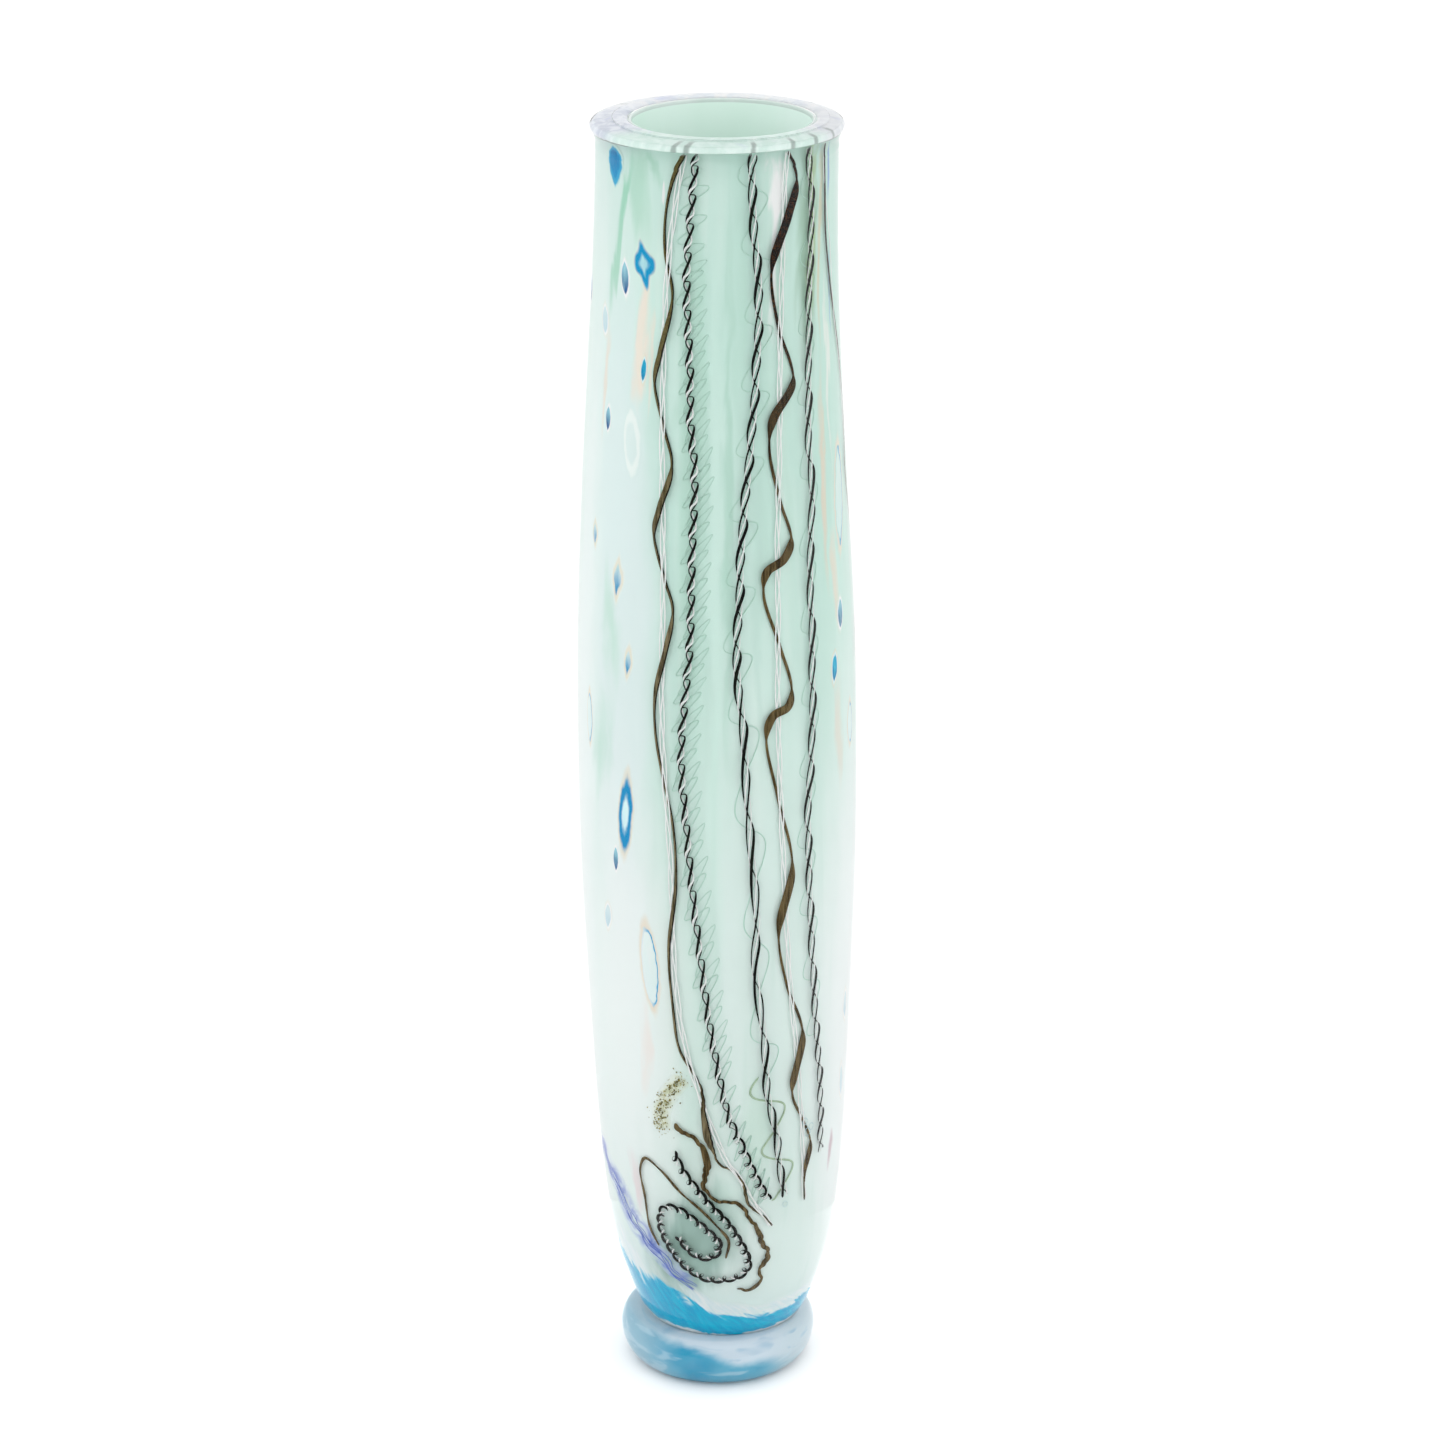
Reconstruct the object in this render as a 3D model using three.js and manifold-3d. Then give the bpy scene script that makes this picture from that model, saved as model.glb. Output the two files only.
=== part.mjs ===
// A tall blown glass vase in the cased technique. An opal mint core is decorated on its outside with
// twisted canes, flat ribbon canes, cane slices, a violet trail and a turquoise collar. Thick clear
// glass cases all of it, and the whole body stands on a separate clear blue foot.
// Millimetres, +Z up, origin at the centre of the foot's underside, front of the vase towards -Y.

import * as THREE from 'three';
import { mergeVertices } from 'three/addons/utils/BufferGeometryUtils.js';
import Module from 'manifold-3d';

const wasm = await Module();
wasm.setup();

// Driving dimensions.
const height = 406;
const gap = 0.3; // between any two pieces of glass
const roundSegments = 32;

// The foot, a thick bun with a polished dish under its middle.
const footHeight = 17;
const dishRadius = 12;
const dishDepth = 1;

// The outside of the body by height above the table, up to the groove under the lip.
const bodyHeights = [17, 22, 30, 40, 55, 83, 120, 170, 220, 252, 300, 348, 378, 396];
const bodyRadii = [25.6, 27.9, 30.8, 33.8, 36.4, 39, 40.8, 42.8, 43.1, 42.4, 40, 37.4, 36.4, 36.2];

// The clear glass over the core gets thinner towards the foot, and the core flares out at the mouth.
const wallHeights = [17, 30, 50, 90, 390, 404];
const wallThicknesses = [2.5, 4.5, 6, 7, 7.7, 6.6];

// The body's centre wanders a little to the side as it rises, as hand work does.
const driftHeights = [17, 70, 150, 235, 320, 400];
const drifts = [1.8, 1.3, 0.4, -0.3, -1.0, -0.1];
const boreOffset = 1.5; // how far the mouth's centre is to the right of the rim's centre

// The opal core.
const coreFloor = 20.6; // underside of the core
const coreStart = 21; // where its side wall starts
const cavityFloor = 33; // bottom of the vase's inside
const coreThickness = 2.2;

// The heights at which the side walls have a ring of corners.
const levels = [24, 30, 38, 48, 62, 82, 108, 138, 172, 210, 250, 292, 330, 364, 386, 397];

// Sections of the canes: the number of sides, half the width and half the depth.
const twistedSection = { sides: 6, halfWidth: 1.2, halfDepth: 1 };
const coiledSection = { sides: 6, halfWidth: 0.9, halfDepth: 0.7 };
const ribbonSection = { sides: 4, halfWidth: 1.05, halfDepth: 0.5 };
const trailSection = { sides: 4, halfWidth: 0.7, halfDepth: 0.5 };
const fleckSection = { sides: 4, halfWidth: 1.3, halfDepth: 0.4 };
const sliceSides = 8;
const sliceHalfDepth = 0.7;
const caneTop = 403.5; // the canes stop just under the polished rim

// Colours of the glass.
const mint = 0xc8e2d9;
const clear = 0xe8f2f0;
const blueClear = 0x9fcfdf;
const darkBrown = 0x3a3228;
const ink = 0x22241f;
const turquoise = 0x01a5cd;
const violet = 0x6f7fc4;
const gold = 0x8f8a4a;
const steelBlue = 0x2f7aa6;
const paleBlue = 0xb9dcea;

// Paths of the canes on the core, from end to end. Each point is an angle in degrees round the axis,
// positive to the right of the front, and a height.
const twistedCanes = {
  twisted_cane_left: [
    [-14, caneTop], [-16, 387], [-18, 364], [-15, 335], [-14.5, 322], [-12, 306], [-13, 280], [-14, 252],
    [-16.5, 234], [-18, 217], [-15.5, 194], [-12.5, 171], [-9, 149], [-6.5, 134], [-2, 115], [3, 99],
    [10.5, 86], [17, 76], [24, 68],
  ],
  twisted_cane_middle: [
    [16.5, caneTop], [16, 392], [18, 377], [21, 360], [20, 338], [18, 322], [14.5, 303], [11.5, 286],
    [9.5, 264], [8, 247], [10.5, 229], [14, 189], [17, 167], [16, 149], [20, 130], [21.5, 118],
    [23.5, 103], [29, 88], [30, 80], [34.5, 68],
  ],
  twisted_cane_right: [
    [51, caneTop], [55, 381], [54, 359], [53, 335], [51.5, 311], [52.5, 295], [49, 276], [48, 249],
    [46.5, 217], [44, 199], [45, 171], [48, 145], [51, 126], [56, 102], [58.5, 79],
  ],
  twisted_cane_back_left: [
    [-146, caneTop], [-144, 370], [-147, 330], [-143, 285], [-149, 240], [-145, 195], [-141, 150],
    [-146, 115], [-140, 82],
  ],
  twisted_cane_back_middle: [
    [-170, caneTop], [-172, 365], [-168, 320], [-173, 275], [-169, 230], [-174, 185], [-167, 140],
    [-163, 105], [-158, 78],
  ],
  twisted_cane_back_right: [
    [128, caneTop], [130, 368], [126, 330], [131, 285], [134, 240], [129, 195], [127, 150], [132, 112],
    [138, 80],
  ],
};

const ribbonCanes = {
  ribbon_cane_left: [
    [-20, caneTop], [-27.5, 392], [-31, 382], [-31, 371], [-26, 358], [-32, 341], [-35, 331], [-29, 318],
    [-24, 307], [-30, 294], [-33, 285], [-27, 272], [-22.5, 263], [-26, 250], [-31, 236], [-31, 224],
    [-27.5, 211], [-22, 194], [-21, 176], [-25, 153], [-23.5, 134], [-20.5, 120], [-13.5, 112],
    [-10, 105], [-8, 96], [-5, 86], [-1, 81.5], [5, 79], [10, 75], [13, 70], [16, 66], [21.5, 63], [27, 58],
  ],
  ribbon_cane_right: [
    [36.5, caneTop], [43.5, 393], [38, 382], [28.5, 367], [33, 349], [42, 332], [29, 321], [27, 312],
    [33, 295], [38, 284], [33, 278], [24, 275], [22, 268], [30, 251], [35.5, 238], [33, 232], [25.5, 230],
    [22, 224], [27.5, 204], [35, 181], [28, 160], [33, 141], [42.5, 124], [37, 104], [44.5, 93],
    [50, 85], [47, 75], [48, 64],
  ],
  ribbon_cane_edge: [
    [66, caneTop], [68, 388], [69.5, 375], [76, 358], [82, 347], [90, 333], [96, 316], [92, 298],
    [99, 280], [104, 262], [98, 244], [103, 224], [108, 206], [102, 188], [99, 168], [106, 148],
    [101, 126], [96, 106], [101, 88],
  ],
  ribbon_cane_lower: [
    [-24, 95], [-21.5, 91.5], [-15, 91], [-11, 87], [-8, 78], [-6, 71.5], [-1, 69], [5, 68], [10.5, 65],
    [15, 61.5], [17.5, 57.5], [22.5, 52.5], [28.5, 49.5], [26.5, 46], [21.5, 43.5], [21.5, 39.5],
    [15.5, 36.5], [8, 36.5],
  ],
  ribbon_cane_back_left: [
    [-124, caneTop], [-120, 385], [-128, 366], [-121, 346], [-130, 326], [-126, 305], [-134, 284],
    [-127, 262], [-122, 240], [-131, 218], [-128, 196], [-120, 172], [-127, 150], [-122, 128],
    [-116, 108], [-121, 90],
  ],
  ribbon_cane_back_right: [
    [158, caneTop], [163, 384], [155, 364], [160, 343], [166, 322], [157, 300], [153, 279], [162, 257],
    [167, 236], [158, 214], [154, 190], [162, 168], [159, 146], [151, 124], [156, 102], [148, 84],
  ],
};

const outlineCane = [
  [-38, 49.5], [-43.5, 56], [-45, 66], [-47, 75.5], [-43, 80], [-33, 77], [-23, 71], [-12, 65.5],
  [-3.5, 60], [3, 54.5], [1.5, 48],
];

// Starts at the top, runs down to the right, returns along the bottom and winds inwards.
const coiledCane = [
  [-26, 85], [-21, 78.5], [-14.5, 73], [-7, 67], [1, 61.5], [7.5, 55], [12, 49.5], [13.5, 44.5],
  [8.5, 41.5], [0, 40.5], [-9, 40.5], [-17, 42.5], [-24.5, 46], [-31, 51.5], [-35, 58], [-32, 64],
  [-24.5, 64.5], [-16, 61.5], [-9, 58], [-3, 53.5], [-5, 49.5], [-12, 48.5], [-18.5, 50.5], [-24.5, 55],
];

const violetTrail = [
  [-108, 78], [-98, 70], [-88, 74], [-79, 69], [-69, 65], [-61, 58], [-55, 54], [-49, 52], [-45, 48.5],
  [-37, 46], [-31, 41.5], [-24, 38.5], [-17, 36],
];

const fleckPatch = [[-19, 111.5], [-24, 107.5], [-29, 103], [-32.5, 97], [-31.5, 91]];

// Slices of patterned cane, each as angle, height of its middle, width and length.
const caneSlices = {
  blue_slice: [
    [-70.5, 395, 3.4, 13], [-59, 361, 2.6, 11], [-69, 317, 2, 8.5], [-56, 269, 3.6, 13], [-47.5, 244.3, 2.4, 10],
    [-55.5, 179.5, 1.8, 8.5], [73.5, 254.8, 2.4, 10], [-104, 352, 2.4, 10], [113, 330, 2.4, 9], [145, 226, 2.2, 9],
    [-107, 196, 2.4, 10],
  ],
  turquoise_slice: [
    [-45, 366.5, 5, 14], [-43, 334.8, 1.8, 8], [-48.8, 195, 4, 24], [66, 239, 2.4, 10], [82, 218, 4, 14],
    [-158, 305, 3.4, 12], [116, 182, 3, 14],
  ],
  pale_slice: [
    [-77, 346, 2.6, 10], [-49.5, 311.8, 6, 20], [-77, 280, 2.4, 10], [-78, 221, 3, 18], [-63, 159, 2.6, 9],
    [-36, 147, 6, 30], [80, 291, 4.4, 30], [82, 124, 2.6, 11], [81, 98, 2.6, 12], [-106, 265, 3.4, 18],
    [143, 352, 3, 14], [-157, 160, 3.4, 20],
  ],
};

// The collar's upper edge by angle, highest at the left and lowest at the front right.
const collarBottom = 21.4;
const collarThickness = 1;
const collarBands = 3;
const collarAngles = [-180, -130, -85, -68, -53, -41, -30, -20, -8, 10, 55, 100, 140, 180];
const collarTops = [38, 45, 48, 46, 41, 37, 34, 30, 26.5, 25.2, 25, 27, 33, 38];

// A smooth value for any place along a list of places with known values.
function smooth(places, values) {
  const interpolant = new THREE.CubicInterpolant(places, values, 1);
  return (place) => interpolant.evaluate(place)[0];
}

const bodyRadius = smooth(bodyHeights, bodyRadii);
const clearWall = smooth(wallHeights, wallThicknesses);
const drift = smooth(driftHeights, drifts);
const collarTop = smooth(collarAngles, collarTops);
const coreRadius = (z) => bodyRadius(z) - clearWall(z);
const coreCentre = (z) => drift(z) + boreOffset * z / height;

// The point at an angle round the core, a height, and a depth into the clear glass over it.
function onCore(angle, z, depth) {
  const radius = coreRadius(z) + gap + depth;
  return [radius * Math.sin(angle) + coreCentre(z), -radius * Math.cos(angle), z];
}

// Moves every corner of a geometry to where the function puts it.
function reshape(geometry, place) {
  const position = geometry.attributes.position;
  for (let i = 0; i < position.count; i++) {
    position.setXYZ(i, ...place(position.getX(i), position.getY(i), position.getZ(i)));
  }
  return geometry;
}

// A turned shape from a profile of [radius, height], its centre moved sideways by height.
function turned(profile, centre) {
  const outline = profile.map(([radius, z]) => new THREE.Vector2(radius, z));
  const geometry = new THREE.LatheGeometry(outline, roundSegments).rotateX(Math.PI / 2);
  return reshape(geometry, (x, y, z) => [x + centre(z), y, z]);
}

function solidOf(geometry) {
  const bare = geometry.clone();
  bare.deleteAttribute('normal');
  bare.deleteAttribute('uv');
  const merged = mergeVertices(bare);
  return new wasm.Manifold(new wasm.Mesh({
    numProp: 3,
    vertProperties: merged.attributes.position.array,
    triVerts: Uint32Array.from(merged.index.array),
  }));
}

function geometryOf(solid) {
  const { vertProperties, triVerts } = solid.getMesh();
  const geometry = new THREE.BufferGeometry();
  geometry.setAttribute('position', new THREE.BufferAttribute(vertProperties, 3));
  geometry.setIndex(new THREE.BufferAttribute(triVerts, 1));
  return geometry;
}

// A bar of flattened section laid on the core along a path, its ends carried past the path's by overrun.
function barShape(points, sides, halfWidth, halfDepth, middleDepth, overrun) {
  const path = new THREE.CatmullRomCurve3(points.map(([degrees, z]) => (
    new THREE.Vector3(THREE.MathUtils.degToRad(degrees) * coreRadius(z), z, 0)
  )));
  const turn = Math.PI / sides;
  const geometry = new THREE.CylinderGeometry(1, 1, 1, sides, points.length - 1, false, turn);
  const widest = sides === 4 ? Math.sin(turn) : 1;
  return reshape(geometry, (across, along, out) => {
    const share = along + 0.5;
    const centre = path.getPoint(share);
    const tangent = path.getTangent(share);
    if (Math.abs(along) === 0.5) centre.addScaledVector(tangent, 2 * along * overrun);
    const sideways = across / widest * halfWidth;
    const angle = (centre.x + sideways * tangent.y) / coreRadius(centre.y);
    const z = centre.y - sideways * tangent.x;
    return onCore(angle, z, middleDepth + out / Math.cos(turn) * halfDepth);
  });
}

function caneShape(points, { sides, halfWidth, halfDepth }) {
  return barShape(points, sides, halfWidth, halfDepth, halfDepth, 0);
}

function canePocket(points, { halfWidth, halfDepth }) {
  return barShape(points, 4, halfWidth + gap, halfDepth + gap, halfDepth, gap);
}

// The place on the core of a point given in units of a slice's half width, half length and depth.
function inSlice([degrees, middle, width, length], clearance, across, up, depth) {
  const z = middle + up * (length / 2 + clearance);
  const angle = THREE.MathUtils.degToRad(degrees) + across * (width / 2 + clearance) / coreRadius(z);
  return onCore(angle, z, depth);
}

// A slice of cane, stretched upright into a lens on the core.
function sliceShape(slice) {
  const geometry = new THREE.SphereGeometry(1, sliceSides, 4);
  return reshape(geometry, (across, up, out) => (
    inSlice(slice, 0, across, up, sliceHalfDepth * (1 + out))
  ));
}

function slicePocket(slice) {
  const clearance = gap / Math.cos(Math.PI / sliceSides);
  const geometry = new THREE.CylinderGeometry(1, 1, 1, sliceSides);
  return reshape(geometry.rotateX(Math.PI / 2), (across, up, out) => (
    inSlice(slice, clearance, across, up, sliceHalfDepth + 2 * out * (sliceHalfDepth + gap))
  ));
}

// The collar's section is one unit high and is stretched at each angle to the collar's upper edge.
function collarShape(clearance) {
  const start = 10;
  const inside = Array.from({ length: collarBands + 1 }, (_, i) => [start, i / collarBands]);
  const outside = inside.map(([, share]) => [start + 1, share]);
  const profile = [...outside, ...inside.reverse(), outside[0]];
  return reshape(turned(profile, () => 0), (x, y, share) => {
    const angle = Math.atan2(x, -y);
    const low = collarBottom - clearance;
    const top = collarTop(THREE.MathUtils.radToDeg(angle)) + clearance;
    const depth = THREE.MathUtils.lerp(-clearance, collarThickness + clearance, Math.hypot(x, y) - start);
    return onCore(angle, THREE.MathUtils.lerp(low, top, share), depth);
  });
}

// The foot, from the dish under its middle out and up to the face that the body stands on.
function footShape() {
  return turned([
    [0, dishDepth], [dishRadius - 2, dishDepth * 0.8], [dishRadius, 0], [24.5, 0], [27.3, 1.4], [29.7, 4.6],
    [30.9, 9], [30.8, 12], [29.6, 14.8], [27.6, 16.5], [26, footHeight], [0, footHeight],
  ], () => 0);
}

// The outside of the body, with the groove under the lip and the lip's sloping top.
function bodyShape() {
  const side = levels.map((z) => [bodyRadius(z), z]);
  return turned([
    [0, footHeight + gap], [25.2, footHeight + gap], [bodyRadius(19.5), 19.5], ...side,
    [36.1, 399.5], [36.9, 401.8], [37.7, 403.4], [37.4, 404.2], [36.6, 404.7], [32, 405.6], [29, height],
    [0, height],
  ], drift);
}

// The outside of the core, or the space for it when a clearance is given.
function coreOutside(clearance) {
  const side = [coreStart, ...levels].map((z) => [coreRadius(z) + clearance, z]);
  const floor = coreFloor - clearance;
  return [[0, floor], [coreRadius(coreStart) - 1.5, floor], ...side];
}

// The core, a cup that is open at the top.
function coreShape() {
  const side = levels.filter((z) => z > 48).map((z) => [coreRadius(z) - coreThickness, z]).reverse();
  return turned([
    ...coreOutside(0), [coreRadius(404), 404], [29, 405.2], [28.1, 405.2], [27.4, 404],
    ...side, [26.6, 48], [22, 40.5], [14, 35.2], [0, cavityFloor],
  ], coreCentre);
}

// The space in the clear glass for the core, open at the top.
function coreSpace() {
  const above = height + 2;
  const radius = coreRadius(height) + gap;
  return turned([...coreOutside(gap), [radius, height], [radius, above], [0, above]], coreCentre);
}

// Every decoration as its name, its colour, its shape and the pocket that holds it.
const decorations = [];

function addCane(name, color, points, section) {
  decorations.push({ name, color, shape: caneShape(points, section), pocket: canePocket(points, section) });
}

for (const [name, points] of Object.entries(twistedCanes)) {
  addCane(name, ink, points, twistedSection);
}
for (const [name, points] of Object.entries(ribbonCanes)) {
  addCane(name, darkBrown, points, ribbonSection);
}
addCane('outline_cane', darkBrown, outlineCane, trailSection);
addCane('coiled_cane', ink, coiledCane, coiledSection);
addCane('violet_trail', violet, violetTrail, trailSection);
addCane('fleck_patch', gold, fleckPatch, fleckSection);

const sliceColors = { blue_slice: steelBlue, turquoise_slice: turquoise, pale_slice: paleBlue };
for (const [kind, slices] of Object.entries(caneSlices)) {
  slices.forEach((slice, index) => {
    const name = `${kind}_${index + 1}`;
    decorations.push({ name, color: sliceColors[kind], shape: sliceShape(slice), pocket: slicePocket(slice) });
  });
}

decorations.push({
  name: 'turquoise_collar', color: turquoise, shape: collarShape(0), pocket: collarShape(gap),
});

// The clear glass is the body less the space for the core and a pocket for every decoration.
function casingGeometry() {
  const pockets = decorations.map(({ pocket }) => solidOf(pocket));
  const space = pockets.reduce((sum, pocket) => sum.add(pocket), solidOf(coreSpace()));
  return geometryOf(solidOf(bodyShape()).subtract(space));
}

const vase = new THREE.Group();

function addPiece(name, geometry, color, roughness) {
  const material = new THREE.MeshStandardMaterial({ color, roughness, metalness: 0 });
  const piece = new THREE.Mesh(geometry, material);
  piece.name = name;
  vase.add(piece);
}

addPiece('foot', footShape(), blueClear, 0.05);
addPiece('opal_core', coreShape(), mint, 0.25);
addPiece('clear_casing', casingGeometry(), clear, 0.03);
for (const { name, color, shape } of decorations) {
  addPiece(name, shape, color, 0.2);
}

export default vase;
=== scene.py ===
"""A tall cased glass vase: mint opal core, canes and cane slices under thick clear glass, blue foot.

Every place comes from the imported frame: the turned shapes from the rings of corners of the CAD nodes,
and the canes and slices from the nodes that they replace. Lengths are metres unless a name says mm,
and a colour is what the eye sees, as red, green and blue from 0 to 255.
"""
import math

import bpy
import numpy as np
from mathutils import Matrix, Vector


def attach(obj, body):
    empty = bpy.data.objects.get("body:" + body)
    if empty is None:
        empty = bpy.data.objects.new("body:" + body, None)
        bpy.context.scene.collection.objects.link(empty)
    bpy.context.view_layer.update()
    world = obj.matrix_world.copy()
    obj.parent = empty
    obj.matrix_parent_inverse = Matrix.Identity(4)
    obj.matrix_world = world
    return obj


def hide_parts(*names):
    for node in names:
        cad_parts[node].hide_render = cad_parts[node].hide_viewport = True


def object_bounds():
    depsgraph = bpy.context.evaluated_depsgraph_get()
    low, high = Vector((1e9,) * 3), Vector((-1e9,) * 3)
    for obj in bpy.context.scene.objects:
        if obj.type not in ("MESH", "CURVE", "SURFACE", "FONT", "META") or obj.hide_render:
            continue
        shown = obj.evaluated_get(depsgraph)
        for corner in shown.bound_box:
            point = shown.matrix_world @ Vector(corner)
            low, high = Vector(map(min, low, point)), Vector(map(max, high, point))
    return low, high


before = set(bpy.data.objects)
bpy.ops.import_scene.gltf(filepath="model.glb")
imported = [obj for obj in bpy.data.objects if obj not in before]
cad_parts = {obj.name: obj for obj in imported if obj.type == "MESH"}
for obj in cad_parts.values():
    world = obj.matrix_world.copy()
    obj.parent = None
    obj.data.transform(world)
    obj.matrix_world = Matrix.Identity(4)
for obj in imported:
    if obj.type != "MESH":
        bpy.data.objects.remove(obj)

cad_low, cad_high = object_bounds()

MM = 0.001
BODY = "root"

# The photograph's viewpoint.
CAMERA_DISTANCE = 1348 * MM  # in front of the vase's axis
CAMERA_HEIGHT = 705 * MM
CAMERA_RIGHT = 1.5 * MM
CAMERA_TILT = math.radians(19.96)  # down from level
CAMERA_LENS = 115.7
CAMERA_SENSOR = 36.0

# How fine the turned surfaces are.
ROUND_STEPS = 256
WALL_STEP = 1.6 * MM
MM_PER_DEGREE = 0.6  # of arc on the core, where a paint patch gives its place in degrees

CANE_COVER = 3 * MM  # of clear glass over the canes' upper ends
AIR_OVERLAP = 0.4 * MM  # the clear glass reaches this far into the opal, so no air lies between them
LIP_THICKNESS = 1.1 * MM  # of the opal at the mouth, where it thins out
LIP_TAPER = 16 * MM
MOUTH_RADIUS = 26.7 * MM  # of the opal's inside at the mouth
CASING_LEAST = 1.2 * MM  # thickness over the core
JOINT_WIDEST = 26 * MM  # radius where the body meets the foot
CASING_INSET = 0.13 * MM  # so that the smooth side stays inside its faceted node
GLASS_IOR = 1.5

# Soft studio light from all round, on a white backdrop that the clear glass mirrors and lets through.
SKY_BRIGHT = 1.45  # what falls on the opal and the table
MIRRORED = 1.0  # the white room in the glass
MIRRORED_LOW_FRONT = 0.42  # and the darker room in front of the vase
BACKDROP = 1.08  # behind the vase
SEEN_THROUGH = 0.88  # the least that shows through the clear glass
TABLE_RADIUS = 115 * MM
TABLE_STEPS = 96
MIRROR_SHARE = 0.45  # of the light that bare glass would mirror straight on
OPAL_LIGHT = 0.86  # how bright white opal looks under the clear glass
FOOT_LIGHT = 0.9  # and white cloud in the foot
GLASS_SHINE = 0.018  # what the clear glass mirrors to the camera


# ==== Curves

def smooth(places, values, at):
    """Values at some places on the smooth curve through known ones."""
    places, values, at = np.asarray(places, float), np.asarray(values, float), np.asarray(at, float)
    slopes = np.gradient(values, places)
    i = np.clip(np.searchsorted(places, at) - 1, 0, len(places) - 2)
    step = places[i + 1] - places[i]
    t = np.clip((at - places[i]) / step, 0, 1)
    start = (1 + 2 * t) * (1 - t) ** 2 * values[i] + t * (1 - t) ** 2 * step * slopes[i]
    end = t ** 2 * (3 - 2 * t) * values[i + 1] + t ** 2 * (t - 1) * step * slopes[i + 1]
    return start + end


def step_between(low, high, at):
    """0 up to low, 1 from high on, and smooth between."""
    t = np.clip((np.asarray(at, float) - low) / (high - low), 0, 1)
    return t * t * (3 - 2 * t)


def catmull(points, per_span=24):
    """Points on the centripetal curve through the given ones, per_span steps between each two."""
    points = np.asarray(points, float)
    p = np.concatenate([[2 * points[0] - points[1]], points, [2 * points[-1] - points[-2]]])
    gap = np.sqrt(np.linalg.norm(np.diff(p, axis=0), axis=1))[:, None] + 1e-9
    before, over, after = gap[:-2], gap[1:-1], gap[2:]
    p0, p1, p2, p3 = p[:-3], p[1:-2], p[2:-1], p[3:]
    m1 = ((p1 - p0) / before - (p2 - p0) / (before + over) + (p2 - p1) / over) * over
    m2 = ((p2 - p1) / over - (p3 - p1) / (over + after) + (p3 - p2) / after) * over
    t = (np.arange(per_span) / per_span)[:, None, None]
    curve = ((2 * t ** 3 - 3 * t ** 2 + 1) * p1 + (t ** 3 - 2 * t ** 2 + t) * m1
             + (3 * t ** 2 - 2 * t ** 3) * p2 + (t ** 3 - t ** 2) * m2)
    curve = curve.transpose(1, 0, 2).reshape(-1, points.shape[1])
    return np.concatenate([curve, points[-1:]])


def lengths_along(points):
    """How far along a line each of its points is."""
    return np.concatenate([[0.0], np.cumsum(np.linalg.norm(np.diff(points, axis=0), axis=1))])


def unit(vectors):
    """The same directions with a length of one."""
    return vectors / (np.linalg.norm(vectors, axis=1)[:, None] + 1e-12)


def full_turn(steps, start=0.0):
    """Even steps once round a circle."""
    return np.linspace(start, start + 2 * math.pi, steps, endpoint=False)


def resampled(points, step):
    """The same line with points at even steps."""
    along = lengths_along(points)
    at = np.linspace(0, along[-1], max(4, int(round(along[-1] / step)) + 1))
    return np.stack([np.interp(at, along, column) for column in points.T], axis=1)


def softened(values, width):
    """A row of values with the waves shorter than width steps smoothed away."""
    width = max(1, min(int(width), len(values) // 2))
    kernel = np.hanning(2 * width + 3)[1:-1]
    ends = 2 * values[0] - values[width:0:-1], 2 * values[-1] - values[-2:-width - 2:-1]
    padded = np.concatenate([ends[0], values, ends[1]])
    return np.convolve(padded, kernel / kernel.sum(), "valid")


def wander(count, waves, seed):
    """A smooth random row of numbers between about -1 and 1, with that many waves."""
    draw = np.random.default_rng(seed)
    t = np.linspace(0, 1, count)
    row = np.zeros(count)
    for part in range(4):
        turns = waves * (0.5 + part * 0.45)
        row += draw.uniform(0.5, 1) / (1 + part) * np.sin(2 * math.pi * (turns * t + draw.uniform()))
    return row / 1.6


# ==== The frame's shapes

def corners(node):
    """The corners of a CAD node, and its triangles as places in that list."""
    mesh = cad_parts[node].data
    flat = np.empty(len(mesh.vertices) * 3)
    mesh.vertices.foreach_get("co", flat)
    points, same = np.unique(flat.reshape(-1, 3).round(6), axis=0, return_inverse=True)
    mesh.calc_loop_triangles()
    faces = np.empty(len(mesh.loop_triangles) * 3, int)
    mesh.loop_triangles.foreach_get("vertices", faces)
    return points, same.reshape(-1)[faces].reshape(-1, 3)


def ring_table(node, fewest=24):
    """Rows of height, middle, outer radius and inner radius, one for each level ring of a turned node."""
    points, _ = corners(node)
    heights, counts = np.unique(points[:, 2], return_counts=True)
    rows = []
    for z in heights[counts >= fewest]:
        ring = points[points[:, 2] == z]
        middle = (ring[:, 0].min() + ring[:, 0].max()) / 2
        reach = np.hypot(ring[:, 0] - middle, ring[:, 1])
        rows.append((z, middle, reach.max(), reach.min()))
    return np.array(rows)


core_rings = ring_table("opal_core")
foot_rings = ring_table("foot")
casing_rings = ring_table("clear_casing")
core_rows = core_rings[core_rings[:, 2] > core_rings[0, 2]]
core_lip_height = core_rows[-1, 0]
core_rows = core_rows[:-1]
core_floor = core_rings[0]
bore_rows = core_rings[core_rings[:, 3] < core_rings[:, 2] - 0.1 * MM]
bore_rows = bore_rows[bore_rows[:, 0] > core_floor[0]]
bowl_rows = core_rings[(core_rings[:, 2] < core_floor[2]) & (core_rings[:, 2] > 0)]
bowl_floor = corners("opal_core")[0]
bowl_floor = bowl_floor[np.hypot(bowl_floor[:, 0] - core_floor[1], bowl_floor[:, 1]) < 1 * MM][:, 2].max()


def core_middle(z):
    return smooth(core_rows[:, 0], core_rows[:, 1], z)


STRAIGHT_FROM = 372 * MM  # above this the core's side goes up nearly straight
STRAIGHT_SHARE = 0.15  # of the node's widening that is left there


def core_radius(z):
    """The core's outside, with the canes laid on it."""
    held = np.minimum(z, STRAIGHT_FROM) + STRAIGHT_SHARE * np.maximum(z - STRAIGHT_FROM, 0)
    return smooth(core_rows[:, 0], core_rows[:, 2], held)


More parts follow.
